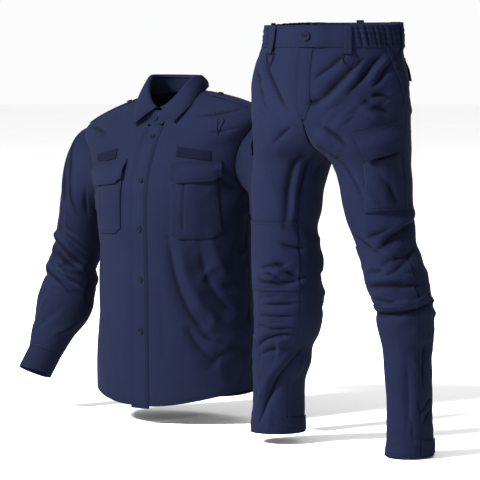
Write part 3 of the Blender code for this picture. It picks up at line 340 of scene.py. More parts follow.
def ripstop(name, dark, light):
    material, tree, shader = new_material(name, 0.80, sheen=0.006, specular=0.012)
    uv = add(tree, "ShaderNodeUVMap", uv_map="cloth").outputs[0]
    apart = add(tree, "ShaderNodeSeparateXYZ", {0: uv}).outputs
    lines = None
    for axis in (0, 1):
        cell = sums(tree, "FRACT", sums(tree, "DIVIDE", apart[axis], GRID_SIZE))
        line = sums(tree, "LESS_THAN", cell, GRID_LINE)
        lines = line if lines is None else sums(tree, "MAXIMUM", lines, line)
    edge = add(tree, "ShaderNodeAttribute", attribute_name="from_edge").outputs["Fac"]
    groove = None
    # Two stitch grooves beside a sewn edge: a bump, and painted shade in the base colour.
    for row in STITCH_ROWS:
        away = sums(tree, "ABSOLUTE", sums(tree, "SUBTRACT", edge, row))
        away = sums(tree, "DIVIDE", away, GROOVE_HALF)
        pit = sums(tree, "SUBTRACT", 1.0, sums(tree, "MINIMUM", away, 1.0))
        groove = pit if groove is None else sums(tree, "MAXIMUM", groove, pit)
    broad = sums(tree, "MULTIPLY", noise(tree, 9.0), 0.6)
    drift = sums(tree, "ADD", broad, sums(tree, "MULTIPLY", noise(tree, 140.0), 0.4))
    colour = blend(tree, drift, dark, light)
    # Painted shade: the base colour is mixed toward near-black in fold troughs and stitch grooves,
    # where shade falls.
    hollow = add(tree, "ShaderNodeAttribute", attribute_name="hollow").outputs["Fac"]
    painted_shade = sums(
        tree, "MAXIMUM",
        sums(tree, "MULTIPLY", groove, GROOVE_PAINTED_SHADE), sums(tree, "MULTIPLY", hollow, HOLLOW_PAINTED_SHADE),
    )
    with_painted_shade = add(tree, "ShaderNodeMix", {0: painted_shade, 6: colour, 7: rgb(PAINTED_SHADE_COLOUR)}, data_type="RGBA")
    tree.links.new(with_painted_shade.outputs[2], shader.inputs["Base Color"])
    inputs = {"Vector": uv, "Scale": WEAVE, "Detail": 1.0}
    weave = add(tree, "ShaderNodeTexNoise", inputs).outputs["Fac"]
    relief = sums(
        tree, "ADD",
        sums(tree, "MULTIPLY", lines, GRID_RELIEF), sums(tree, "MULTIPLY", weave, WEAVE_RELIEF),
    )
    fine = add(tree, "ShaderNodeBump", {"Height": relief, "Strength": 0.30, "Distance": 0.0003})
    beside = sums(tree, "LESS_THAN", edge, PUCKER_REACH)
    pucker = sums(tree, "MULTIPLY", noise(tree, 240.0, 1.0), beside)
    sewn = sums(
        tree, "ADD", sums(tree, "MULTIPLY", groove, -1.0), sums(tree, "MULTIPLY", pucker, 0.9),
    )
    coarse = add(
        tree, "ShaderNodeBump",
        {"Height": sewn, "Strength": 0.55, "Distance": 0.0010, "Normal": fine.outputs[0]},
    )
    soft = add(
        tree, "ShaderNodeBump",
        {"Height": noise(tree, 38.0), "Strength": 0.18, "Distance": 0.0040,
         "Normal": coarse.outputs[0]},
    )
    tree.links.new(soft.outputs[0], shader.inputs["Normal"])
    return material


MATERIALS = {
    "ripstop": ripstop("navy_ripstop_shirt", "090C18", "0E1222"),
    "trouser": ripstop("navy_ripstop_trousers", "090C19", "0E1223"),
}

# %% [markdown]
# The other finishes are few. Hook tape is a mat of tiny nylon loops, buttons are moulded polyester
# with a satin polish, the rings are moulded nylon, and the thread is a shade lighter than the
# cloth, which is what makes a seam readable.

# %% Other materials
def speckled(name, dark, light, roughness, scale, strength, distance, specular):
    material, tree, shader = new_material(name, roughness, specular=specular)
    tree.links.new(blend(tree, noise(tree, scale), dark, light), shader.inputs["Base Color"])
    rough = sums(tree, "MULTIPLY_ADD", noise(tree, scale * 0.5), 0.25, roughness - 0.12)
    tree.links.new(rough, shader.inputs["Roughness"])
    bump = add(
        tree, "ShaderNodeBump",
        {"Height": noise(tree, scale * 1.5), "Strength": strength, "Distance": distance},
    )
    tree.links.new(bump.outputs[0], shader.inputs["Normal"])
    return material


for slot, finish in {
    "hook_tape": ("nylon_hook_tape", "04060F", "080B17", 0.95, 900, 0.8, 0.0006, 0.02),
    "button": ("moulded_polyester_button", "05070F", "0A0D1A", 0.65, 60, 0.1, 0.0002, 0.03),
    "ring": ("moulded_nylon_ring", "030407", "06070C", 0.60, 220, 0.2, 0.0001, 0.03),
    "thread": ("polyester_thread", "0C0F1A", "141826", 0.80, 400, 0.2, 0.0001, 0.02),
}.items():
    MATERIALS[slot] = speckled(*finish)
print("materials:", ", ".join(material.name for material in MATERIALS.values()))

# %% [markdown]
# Each piece is a grid of points on its form. The grid becomes a mesh, Solidify gives it the wall,
# and the same grid gives the seam's distance, how hollow the cloth is for the painted shade, a
# flat coordinate for the weave, the cut size and the lines that the thread follows.

# %% Making a piece of cloth
SEWING = {"shirt": [], "trousers": []}
CUT = {}
THREAD_LIFT = 0.0001    # thread lies this far off the outer face
# the least that a sheet may be declared as
LEAST_SIDE, LEAST_SHARE = 0.0101, 0.31      # the least side, and the least area as a share of its box, for a piece's size


def travelled(grid, axis):
    """Distance along the grid's rows or columns, from their first point."""
    step = np.linalg.norm(np.diff(grid, axis=axis), axis=-1)
    first = np.zeros_like(np.take(step, [0], axis=axis))
    return np.concatenate((first, np.cumsum(step, axis=axis)), axis=axis)


def trim(grid, left=False, right=False, top=False, bottom=False):
    """Draws the named edges of a grid in by half a seam's gap."""
    grid = grid.copy()
    for wanted, edge, inner in (
        (left, np.s_[:, 0], np.s_[:, 1]),
        (right, np.s_[:, -1], np.s_[:, -2]),
        (top, np.s_[-1], np.s_[-2]),
        (bottom, np.s_[0], np.s_[1]),
    ):
        if wanted:
            grid[edge] = grid[edge] + unit(grid[inner] - grid[edge]) * SEAM / 2
    return grid


def outside(grid, wall, ring, flip):
    """The outer face of a piece, where thread and patches lie."""
    if ring:
        wide = np.concatenate((grid[:, -1:], grid, grid[:, :1]), axis=1)
        du = (wide[:, 2:] - wide[:, :-2])
    else:
        du = np.gradient(grid, axis=1)
    normal = unit(np.cross(du, np.gradient(grid, axis=0)) + 1e-12)
    return grid + normal * (-1 if flip else 1) * wall


# How hollow a point is sets the painted shade that the material puts into fold troughs.
HOLLOW_CELLS = 2        # grid cells to the neighbours that a point is compared with
HOLLOW_DEPTH = 0.0021   # a trough this much deeper than they are takes the full shade


def hollows(grid, ring, flip):
    """0 on flat cloth and on ridges, up to 1 in a sharp trough."""
    k = HOLLOW_CELLS
    tall = np.pad(grid, ((k, k), (0, 0), (0, 0)), mode="edge")
    wide = np.pad(grid, ((0, 0), (k, k), (0, 0)), mode="wrap" if ring else "edge")
    mean = (tall[2 * k:] + tall[:-2 * k] + wide[:, 2 * k:] + wide[:, :-2 * k]) / 4
    normal = outside(grid, 1.0, ring, flip) - grid
    return np.clip(((mean - grid) * normal).sum(axis=-1) / HOLLOW_DEPTH, 0, 1)


def inset_line(face, distance):
    """A line at a distance inside the first column of a face."""
    reach = travelled(face, 1)
    after = np.clip((reach < distance).sum(axis=1), 1, face.shape[1] - 1)
    row = np.arange(len(face))
    part = (distance - reach[row, after - 1]) / (reach[row, after] - reach[row, after - 1])
    return face[row, after - 1] * (1 - part[:, None]) + face[row, after] * part[:, None]


def sew(garment, face, edges, rows):
    """Thread lines along the named edges (left, right, top, bottom) of a face."""
    sides = {"l": face, "r": face[:, ::-1], "b": face.swapaxes(0, 1)}
    sides["t"] = face[::-1].swapaxes(0, 1)
    for edge in edges:
        for distance in rows:
            SEWING[garment].append(inset_line(sides[edge], distance))


def keep(mesh, name, values):
    """Stores one value for each point of a mesh."""
    stored = mesh.attributes.new(name, "FLOAT", "POINT")
    stored.data.foreach_set("value", values.astype(np.float32).ravel())


def cloth(
    node, grid, wall=WALL, ring=False, flip=False, finish=None, edges="",
    rows=STITCH_ROWS,
):
    """A piece of cloth in place of a node; its cut size is kept in CUT."""
    garment = "trousers" if held_by_trousers(node) else "shirt"
    height, width = grid.shape[:2]
    row, column = np.mgrid[0:height - 1, 0:(width if ring else width - 1)]
    corners = (
        row * width + column,
        row * width + (column + 1) % width,
        (row + 1) * width + (column + 1) % width,
        (row + 1) * width + column,
    )
    faces = np.stack(corners, axis=-1).reshape(-1, 4)
    if flip:
        faces = faces[:, ::-1]
    mesh = bpy.data.meshes.new(node + "_cloth")
    mesh.from_pydata(grid.reshape(-1, 3).tolist(), [], faces.tolist())
    across, along = travelled(grid, 1), travelled(grid, 0)
    edge = np.full((height, width), 1.0)
    from_sides = dict(l=across, r=across[:, -1:] - across, b=along, t=along[-1:] - along)
    for name, away in from_sides.items():
        if name in edges:
            edge = np.minimum(edge, away)
    keep(mesh, "from_edge", edge)
    keep(mesh, "hollow", hollows(grid, ring, flip))
    flat = np.stack((across, along), axis=-1).reshape(-1, 2)
    corner_of = np.empty(len(mesh.loops), np.int32)
    mesh.loops.foreach_get("vertex_index", corner_of)
    weave = mesh.uv_layers.new(name="cloth")
    weave.data.foreach_set("uv", flat[corner_of].astype(np.float32).ravel())
    mesh.materials.append(MATERIALS[finish or ("trouser" if garment == "trousers" else "ripstop")])
    mesh.shade_smooth()
    obj = put(node + "_cloth", mesh)
    thickness = obj.modifiers.new("thickness", "SOLIDIFY")
    thickness.thickness = wall
    thickness.offset = 1
    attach(obj, "root")
    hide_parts(node)
    area = 0.0
    for a, b, c in ((0, 1, 2), (0, 2, 3)):
        p, q, r = (grid.reshape(-1, 3)[faces[:, i]] for i in (a, b, c))
        area += float(np.linalg.norm(np.cross(q - p, r - p), axis=-1).sum() / 2)
    size = [float(across[:, -1].max()), float(along[-1].max())]
    if ring:
        size[0] += float(np.linalg.norm(grid[:, 0] - grid[:, -1], axis=-1).max())
    size = tuple(max(side, LEAST_SIDE) for side in size)
    area = max(min(area, size[0] * size[1]), LEAST_SHARE * size[0] * size[1])
    CUT[node] = (round(size[0] * 1000), round(size[1] * 1000))
    sew(garment, outside(grid, wall + THREAD_LIFT, ring, flip), edges, rows)


def held_by_trousers(node):
    starts = (
        "trouser", "waist", "fly", "ring_loop", "side_loop", "back_loop", "pocket_edge", "cargo",
        "back_pocket", "knee", "hem_tab",
    )
    return node.startswith(starts)


# %% [markdown]
# The shirt's body is a tube with a front and a back half-depth at each level, from the hem to
# the neckline. Its folds are measured from the picture: two long bowed ones fall from the left
# pocket to the hem, and short ones run in to the shoulders and underarms.

# %% The shirt's body
ARMPIT, TIP = 0.62, 0.86
TORSO = table(
    "level side_x side_z front_y front_z back_y back_z",
    (0.00, 0.218, -0.360, 0.166, -0.400, 0.128, -0.406),
    (0.12, 0.219, -0.292, 0.167, -0.312, 0.126, -0.315),
    (0.30, 0.209, -0.150, 0.169, -0.160, 0.120, -0.160),
    (0.45, 0.206, -0.030, 0.169, -0.030, 0.124, -0.030),
    (0.55, 0.209, 0.050, 0.168, 0.055, 0.130, 0.060),
    (0.62, 0.218, 0.110, 0.163, 0.125, 0.134, 0.135),
    (0.70, 0.224, 0.170, 0.153, 0.168, 0.135, 0.194),
    (0.78, 0.237, 0.234, 0.137, 0.207, 0.129, 0.243),
    (0.86, 0.258, 0.300, 0.121, 0.238, 0.115, 0.290),
    (0.92, 0.190, 0.335, 0.106, 0.260, 0.096, 0.328),
    (0.96, 0.126, 0.355, 0.095, 0.275, 0.078, 0.353),
    (1.00, 0.072, 0.368, 0.084, 0.288, 0.060, 0.374),
)
SHOULDER_LEAN, SHOULDER_SHIFT = 0.08, -0.007
ARMHOLE_MIDDLE, ARMHOLE_HALF = (ARMPIT + TIP) / 2, (TIP - ARMPIT) / 2
ARMHOLE_FRONT, ARMHOLE_BACK = 21.0, 38.0
TURN_STEP = 4.0
YOKE_FRONT_TURN, YOKE_BACK_TURN = 140.0, 120.0
PLACKET_HALF = 0.0245
FRONT_WIDTH, BACK_WIDTH, YOKE_DEPTH = 0.235, 0.53, 0.145
BODY_CRUSH, BODY_BROAD, BODY_FINE = 0.0030, 0.0016, 0.0006      # the depth of its random fields
BODY_FOLDS = fold_table(
    (80, 15, 182, -255, -24, 14, -9),
    (106, 10, 204, -225, -24, 17, 7.5),
    (148, -10, 200, -170, -12, 11, -6),
    (166, 20, 206, -120, -6, 10, 4.5),
    (118, -190, 180, -290, -10, 11, -4.5),
    (150, -230, 205, -270, 4, 8, 4),
    (165, -300, 205, -255, 4, 9, -4),
    (-185, -50, -120, -200, 12, 20, 3.5),
    (-200, 30, -140, -110, 10, 16, -4.5),
    (-195, -140, -165, -290, 6, 14, -3),
    (115, 303, 236, 318, -4, 6, -4.2),
    (125, 290, 225, 297, -4, 8, 3.4),
    (160, 262, 228, 268, -3, 5, -4),
    (-228, 300, -150, 276, 4, 6, -4.4),
    (-215, 278, -150, 262, 3, 9, 2.2),
    (212, 120, 176, 178, 4, 8, -3),
    (-212, 112, -172, 190, -6, 9, -4),
    (-210, 100, -176, 20, 6, 10, -4),
    (52, -60, 62, -300, 4, 22, -2),
    (-60, 0, -70, -290, -4, 24, -1.8),
    deeper=1.2,
)
BACK_FOLDS = joined(
    fold_table(
        (-190, 60, -60, -100, 12, 18, -8),
        (185, 40, 80, -120, -12, 18, -8),
        (-150, -90, -40, -230, 10, 16, 5.5),
        (150, -110, 50, -250, -10, 16, 5.5),
        (-10, 120, 10, -160, 6, 22, -5.5),
        (205, 110, 120, 200, 8, 12, -4.5),
        (-205, 105, -125, 195, -8, 12, -4.5),
    ),
    scattered(
        11, 9, (-0.17, -0.02), (-0.33, -0.02), (-70, -35),
        length=(0.07, 0.17), width=(0.010, 0.016), height=(0.0020, 0.0040),
    ),
    scattered(
        12, 9, (0.02, 0.17), (-0.33, -0.02), (215, 250),
        length=(0.07, 0.17), width=(0.010, 0.016), height=(0.0020, 0.0040),
    ),
)


def torso_smooth(angle, level):
    """The shirt's body without its folds. Angle 0 is the left side, -90 the front, 90 the back."""
    turn = np.radians(angle)
    front = np.sin(turn) < 0
    depth = np.where(front, smooth(TORSO, "front_y", level), smooth(TORSO, "back_y", level))
    end_z = np.where(front, smooth(TORSO, "front_z", level), smooth(TORSO, "back_z", level))
    x = smooth(TORSO, "side_x", level) * np.cos(turn)
    z = smooth(TORSO, "side_z", level) * np.cos(turn) ** 2 + end_z * np.sin(turn) ** 2
    return points(x, depth * np.sin(turn), z)


def torso_fold(angle, level):
    plain = torso_smooth(angle, level)
    x, y, z = np.moveaxis(plain, -1, 0)
    front = np.sin(np.radians(angle)) < 0
    folds = np.where(front, fold_depth(BODY_FOLDS, x, z), fold_depth(BACK_FOLDS, x, z))
    low_left = ease(x, 0.09, 0.15) * (1 - ease(z, -0.01, 0.05)) * ease(z, -0.38, -0.32)
    underarm = near(abs(x), z, 0.21, 0.10, 0.045, 0.075)
    small = BODY_CRUSH * np.maximum(low_left * front, 0.8 * underarm)
    small = small * creases(plain, 21, (0.045, 0.060, 0.034), 40)
    broad = BODY_BROAD * ripple(plain, 22, (0.080, 0.080, 0.120))
    fine = BODY_FINE * ripple(plain, 23, (0.030, 0.030, 0.060))
    calm = np.where(front, ease(abs(x), 0.025, 0.06), 1.0)      # flat under the placket
    return calm * (folds + small + broad + fine) * ease(1 - level, 0.0, 0.03)


HUNDRED = 100       # a surface is stepped over in metres and in hundreds of degrees
HALVINGS = 24


def shirt_world(place):
    """From the shirt's own frame to the suit's."""
    x, y, z = np.moveaxis(place, -1, 0)
    upper = ease(z, -0.15, 0.20)
    z = z + SHOULDER_LEAN * x * upper
    x = x + SHOULDER_SHIFT * upper
    return turned(points(x, y, z), SHIRT_YAW, SHIRT_PLACE)


def torso_scaled(u, v):
    return torso_smooth(u * HUNDRED, v)


def torso(angle, level, lift=0.0):
    """Points on the shirt's body, lift metres out from the cloth's inner face."""
    angle, level = np.broadcast_arrays(np.asarray(angle, float), np.asarray(level, float))
    lift = torso_fold(angle, level) + lift
    return shirt_world(lifted(torso_scaled, angle / HUNDRED, level, lift, 1))


def on_torso(x, z, lift):
    """Points on the shirt's front, given as they are seen from straight in front."""
    x, z = np.broadcast_arrays(np.asarray(x, float), np.asarray(z, float))
    low, high = np.zeros(x.shape), np.ones(x.shape)
    for _ in range(HALVINGS):
        level = (low + high) / 2
        share = np.clip(x / smooth(TORSO, "side_x", level), -0.999, 0.999)
        angle = -np.degrees(np.arccos(share))
        above = torso_smooth(angle, level)[..., 2] > z
        low, high = np.where(above, low, level), np.where(above, level, high)
    return torso(angle, level, lift)


def armhole(turn):
    """Level and reach from the side on the armhole. Turn is 0 underarm and 180 on top."""
    turn = np.radians(turn)
    reach = np.where(np.sin(turn) > 0, ARMHOLE_FRONT, ARMHOLE_BACK)
    return ARMHOLE_MIDDLE - ARMHOLE_HALF * np.cos(turn), reach * abs(np.sin(turn))


# %% [markdown]
# Two fronts, a back and a yoke meet along felled seams. The rows of a front follow the armhole's
# own points as they pass it, so the sleeve can be set into the same edge.

# %% Shirt panels
LOWER_LEVELS = shares(0.43)[:-3] * 0.618        # the rows below the armhole
YOKE_SHARES = shares(YOKE_DEPTH, 0.0055)


def shirt_front(word, side):
    """A front, from the placket to the side seam and armhole, and up to the yoke and neck."""
    turns = np.arange(0, YOKE_FRONT_TURN + 0.1, TURN_STEP)
    level, reach = armhole(turns + 0.001)
    upper = level[-1] + (1 - level[-1]) * YOKE_SHARES[1:]
    levels = np.concatenate((LOWER_LEVELS, level, upper))[:, None]
    reach = np.concatenate((0 * LOWER_LEVELS, reach, np.full_like(upper, reach[-1])))[:, None]
    middle = -np.degrees(np.arccos(PLACKET_HALF / smooth(TORSO, "side_x", levels)))
    start, end = (middle, -reach) if side > 0 else (-180 - middle, -180 + reach)
    across = shares(FRONT_WIDTH)[None, :]
    grid = torso(between(start, end, across), levels, dip(across, FRONT_WIDTH))
    cloth(
        f"shirt_front_{word}", trim(grid, left=True, right=True), flip=side < 0,
        edges="rb",
    )


def shirt_back():
    turns = np.arange(0, YOKE_BACK_TURN + 0.1, TURN_STEP)
    level, reach = armhole(360 - turns - 0.001)
    levels = np.concatenate((LOWER_LEVELS, level))[:, None]
    reach = np.concatenate((0 * LOWER_LEVELS, reach))[:, None]
    across = shares(BACK_WIDTH, 0.0052)[None, :]
    grid = torso(reach + (180 - 2 * reach) * across, levels, dip(across, BACK_WIDTH))
    grid = trim(grid, left=True, right=True, top=True)
    cloth("shirt_back", grid, edges="lrb")


def shirt_yoke():
    """Over both shoulders, from the armholes' tops and the seam across the back to the neck."""
    front_level, front_reach = armhole(np.arange(YOKE_FRONT_TURN, 179, TURN_STEP))
    back_level, back_reach = armhole(np.arange(180, 360.1 - YOKE_BACK_TURN, TURN_STEP))
    flat = np.linspace(back_reach[-1], 90, 22)[1:-1]
    half = np.concatenate((-front_reach, back_reach, flat))
    level = np.concatenate((front_level, back_level, np.full_like(flat, back_level[-1])))
    angles = np.concatenate((half, (90,), 180 - half[::-1]))[None, :]
    outer = np.concatenate((level, (back_level[-1],), level[::-1]))[None, :]
    share = YOKE_SHARES[:, None]
    grid = torso(angles, between(outer, 1, share), dip(share, YOKE_DEPTH))
    grid = trim(grid, left=True, right=True)
    corner = len(half) - len(flat) - 1
    seam = slice(corner, -corner)
    grid[0, seam] = trim(grid, bottom=True)[0, seam]
    cloth("shirt_yoke", grid, edges="lrb")


# %% [markdown]
# A sleeve hangs in a soft bend. Its creases gather inside the elbow and at the underarm, so the
# table holds the long diagonal ones and the random field crushes the inner elbow.

# %% Sleeves and cuffs
SLEEVES = {
    -1: table(
        "run x y z out front",
        (0.000, 0.303, 0.028, 0.066, 0.062, 0.076),
        (0.070, 0.319, 0.026, -0.004, 0.061, 0.072),
        (0.125, 0.332, 0.018, -0.060, 0.063, 0.069),
        (0.180, 0.337, 0.006, -0.115, 0.067, 0.068),
        (0.245, 0.345, -0.012, -0.176, 0.074, 0.070),
        (0.315, 0.364, -0.034, -0.240, 0.057, 0.056),
        (0.378, 0.373, -0.058, -0.297, 0.043, 0.044),
    ),
    1: table(
        "run x y z out front",
        (0.000, 0.306, -0.026, 0.080, 0.060, 0.066),
        (0.070, 0.336, -0.036, 0.014, 0.060, 0.064),
        (0.125, 0.350, -0.045, -0.046, 0.060, 0.063),
        (0.180, 0.357, -0.058, -0.102, 0.062, 0.064),
        (0.245, 0.362, -0.078, -0.163, 0.060, 0.061),
        (0.315, 0.360, -0.098, -0.227, 0.051, 0.052),
        (0.378, 0.356, -0.114, -0.288, 0.043, 0.044),
    ),
}
SLEEVE_LENGTH, CUFF_LENGTH = 0.378, 0.058
CAP_PULL_OUT, CAP_PULL_DOWN = 1.07, 0.82
SLEEVE_GIRTH = 0.43
SLEEVE_AIM = {-1: (-0.30, -0.36, -0.88), 1: (0.05, -0.30, -0.95)}
CUFF_START, CUFF_LAP = 250.0, 26.0      # degrees
SLEEVE_FOLDS = fold_table(
    (186, 64, 28, 158, 10, 7, -8.5),
    (178, 48, 40, 128, 10, 10, 6),
    (170, 100, 60, 186, 8, 7, -5),
    (168, 136, 60, 212, 6, 8, 4),
    (200, 170, 110, 186, 4, 7, -5),
    (108, 92, 34, 142, -4, 6, -6),
    (84, 58, 20, 100, -4, 6, -4.5),
    (120, 12, 60, 50, -3, 7, -3.5),
    (90, 170, 30, 200, -4, 6, -4.5),
    (205, -20, 150, 110, 6, 16, -5),
    (120, -40, 95, 50, 4, 10, -4),
    (240, 80, 350, 150, 8, 14, -6.5),
    (250, 120, 345, 180, 8, 12, 5),
    (235, 150, 330, 215, 8, 11, -5),
    (110, 250, 170, 340, 6, 12, -5),
    (60, 260, 110, 350, 4, 11, -3.5),
    (220, 260, 290, 345, 6, 13, -4.5),
    (10, 270, 50, 345, 4, 10, 3),
    girth=SLEEVE_GIRTH, deeper=1.3,
)
CAP_LENGTH = 0.14       # along the cap, from the armhole to the sleeve's first ring
CAP_FOLDS = fold_table(
    (176, -118, 84, -10, 8, 7, -6.2),
    (160, -128, 70, -20, 8, 9, 4),
    (200, -100, 120, -4, 6, 8, -3.4),
    (150, -45, 96, -2, 3, 7, -3.4),
    (60, -110, 40, -20, 3, 7, -4),
    (235, -120, 290, -15, 6, 9, -5),
    (265, -110, 320, -10, 6, 9, -4),
    girth=SLEEVE_GIRTH, deeper=1.4,
)
SLEEVE_CRUSH, SLEEVE_BROAD = 0.0034, 0.0018     # the depth of its random fields
ELBOW_RUN, ELBOW_REACH = 0.165, 0.055
RUN_STEP = 0.01


def sleeve_ring(side, turn, run):
    """A point of the sleeve below its cap. Turn 0 is the underarm, 90 the front and 180 outside."""
    rings = SLEEVES[side]

    def middle(at):
        return points(side * smooth(rings, "x", at), smooth(rings, "y", at), smooth(rings, "z", at))

    centre = middle(run)
    later, sooner = np.minimum(run + RUN_STEP, SLEEVE_LENGTH), np.maximum(run - RUN_STEP, 0)
    along = unit(middle(later) - middle(sooner))
    outward = unit(np.cross(along, (0.0, side, 0.0)))
    forward = unit(np.cross(along, outward)) * side
    angle = np.radians(turn)

    def ring_at(fold):
        out = (smooth(rings, "out", run) + fold)[..., None]
        front = (smooth(rings, "front", run) + fold)[..., None]
        ahead = forward * front * np.sin(angle)[..., None]
        return centre + ahead - outward * out * np.cos(angle)[..., None]

    plain = ring_at(np.zeros_like(run + turn))
    elbow = np.exp(-(((run - ELBOW_RUN) / ELBOW_REACH) ** 2))
    elbow = elbow * (0.35 + 0.65 * np.exp(-(((turn - 60) / 60) ** 2)))      # most on its inside
    fold = fold_depth(SLEEVE_FOLDS, turn / 360 * SLEEVE_GIRTH, run)
    fold = fold + SLEEVE_CRUSH * elbow * creases(plain, 31, (0.050, 0.050, 0.024), -20)
    broad = SLEEVE_BROAD * ripple(plain, 32, (0.060, 0.060, 0.090))
    fold = fold + broad * ease(run, 0.0, 0.03)
    return ring_at(fold * ease(SLEEVE_LENGTH - run, 0.0, 0.02))


def armhole_point(side, turn, lift):
    """The armhole's edge, with turn as for the sleeve, in the shirt's own frame."""
    level = ARMHOLE_MIDDLE - ARMHOLE_HALF * np.cos(np.radians(turn))
    sine = np.sin(np.radians(turn))
    angle = np.where(sine > 0, -ARMHOLE_FRONT, -ARMHOLE_BACK) * sine
    angle = angle if side > 0 else 180 - angle
    return lifted(torso_scaled, angle / HUNDRED, level, torso_fold(angle, level) + lift, 1)


def sleeve_cap(side, turn, share):
    """A point between the armhole, at share 0, and the sleeve's first ring, at share 1."""
    start = armhole_point(side, turn, WALL + 2 * SEAM)
    end = sleeve_ring(side, turn, np.zeros_like(turn))
    reach = np.linalg.norm(end - start, axis=-1, keepdims=True)
    out = np.array((side * 0.985, 0.0, -0.17)) * CAP_PULL_OUT * reach
    down = np.array((side * 0.10, 0.0, -0.995)) * CAP_PULL_DOWN * reach
    return hermite(share[..., None], start, out, end, down)


def sleeve(word, side):
    turns = np.arange(0, 360, TURN_STEP)[None, :]
    cap = shares(CAP_LENGTH)[:-4, None]
    runs = shares(SLEEVE_LENGTH)[4:, None] * SLEEVE_LENGTH
    runs = np.concatenate(([[0.0]], runs))
    upper = sleeve_cap(side, *np.broadcast_arrays(turns, cap))
    folds = fold_depth(CAP_FOLDS, turns / 360 * SLEEVE_GIRTH, (cap - 1) * CAP_LENGTH)
    fading = np.sin(math.pi * np.clip(cap, 0, 1)) ** 0.6
    around = np.roll(upper, -1, axis=1) - np.roll(upper, 1, axis=1)
    square = unit(np.cross(around, np.gradient(upper, axis=0)) + 1e-12) * -side
    upper = upper + square * (folds * fading)[..., None]
    lower = sleeve_ring(side, *np.broadcast_arrays(turns, runs))
    grid = shirt_world(np.concatenate((upper, lower)))
    cloth(
        f"sleeve_{word}", trim(grid, top=True), ring=True, flip=side < 0,
        edges="bt",
    )


def cuff_point(side, turn, down, lift):
    """The cuff goes straight on from the sleeve's end."""
    turn = np.asarray(turn, float)
    end = sleeve_ring(side, turn, np.full(turn.shape, SLEEVE_LENGTH))
    x, y, z = (SLEEVES[side][name][-1] for name in "xyz")
    middle = points(side * x, y, z)
    along = unit(np.array(SLEEVE_AIM[side]))
    radial = end - middle
    radial = unit(radial - (radial @ along)[..., None] * along)
    return end + along * np.asarray(down)[..., None] + radial * np.asarray(lift)[..., None]


def cuff(word, side):
    """A cuff closed by its button: a strip whose end lies over its start."""
    turns = (CUFF_START + (360 + CUFF_LAP) * shares(0.30))[None, :]
    over = ease(turns, CUFF_START + 330, CUFF_START + 352) * (COLLAR_WALL + 2 * SEAM)
    downs = shares(CUFF_LENGTH)[:, None] * (CUFF_LENGTH - SEAM / 2) + SEAM / 2
    turns, downs, over = np.broadcast_arrays(turns, downs, over)
    grid = shirt_world(cuff_point(side, turns, downs, over))
    cloth(
        f"cuff_{word}", grid, wall=COLLAR_WALL, flip=side < 0,
        edges="lrtb", rows=(0.0022, 0.0070),
    )


# %% Building the shirt's panels
for word, side in SIDES.items():
    shirt_front(word, side)
    sleeve(word, side)
    cuff(word, side)
shirt_back()
shirt_yoke()
print("cut in mm:", CUT)

# %% [markdown]
# The collar is two pieces: a band that stands round the neck and a fall that turns over it. The
# fall's fold is rounded, because two layers of cloth with an interlining don't crease sharply.

# %% Collar
FOLD_X, FOLD_FRONT, FOLD_BACK = 0.066, 0.072, 0.058
FOLD_TOP, FOLD_DROP, FOLD_TILT = 0.410, 0.078, 0.09
COLLAR_EDGE = table(
    "angle x y z",
    (-90, 0.055, -0.100, 0.287),
    (-60, 0.075, -0.074, 0.322),
    (-30, 0.085, -0.038, 0.355),
    (0, 0.082, 0.004, 0.373),
    (45, 0.061, 0.052, 0.380),
    (90, 0.000, 0.077, 0.380),
)
STAND_INSET, STAND_GAP = 0.0045, 0.008
COLLAR_SLACK = 0.009     # how much lower the left leaf lies on its shoulder


def collar_fold(angle, inset=0.0):
    turn = np.radians(angle)
    front = np.sin(turn) < 0
    depth = np.where(front, FOLD_FRONT, FOLD_BACK) - inset
    z = FOLD_TOP - FOLD_DROP * np.where(front, np.sin(turn) ** 2, 0)
    z = z - FOLD_TILT * FOLD_X * np.cos(turn)
    return points((FOLD_X - inset) * np.cos(turn), depth * np.sin(turn), z)


def collar_edge(angle):
    left = np.where(angle > 90, 180 - angle, angle)
    wider = COLLAR_SLACK * np.exp(-(((angle + 25) / 45) ** 2))
    x = np.where(angle > 90, -1, 1) * smooth(COLLAR_EDGE, "x", left) + 0.3 * wider
    return points(x, smooth(COLLAR_EDGE, "y", left), smooth(COLLAR_EDGE, "z", left) - wider)


def stand_point(angle, share, lift):
    foot = torso_smooth(angle, np.ones_like(angle)) - points(0, 0, TUCKED / 2)
    top = collar_fold(angle, STAND_INSET) - points(0, 0, STAND_GAP)
    out = points(np.cos(np.radians(angle)), np.sin(np.radians(angle)), 0.0)
    return foot + (top - foot) * share[..., None] + out * np.asarray(lift)[..., None]


def collar_stand():
    """A band round the neck. Its left end laps over the right one, where the collar button sits."""
    angles = (-104 + 362 * shares(0.45))[None, :]
    over = (1 - ease(angles, -88, -70)) * (COLLAR_WALL + 2 * SEAM)
    share = shares(0.036)[:, None]
    angles, share, over = np.broadcast_arrays(angles, share, over)
    grid = shirt_world(stand_point(angles, share, over))
    cloth(
        "collar_stand", grid, wall=COLLAR_WALL, edges="lrb",
        rows=(0.0022,),
    )


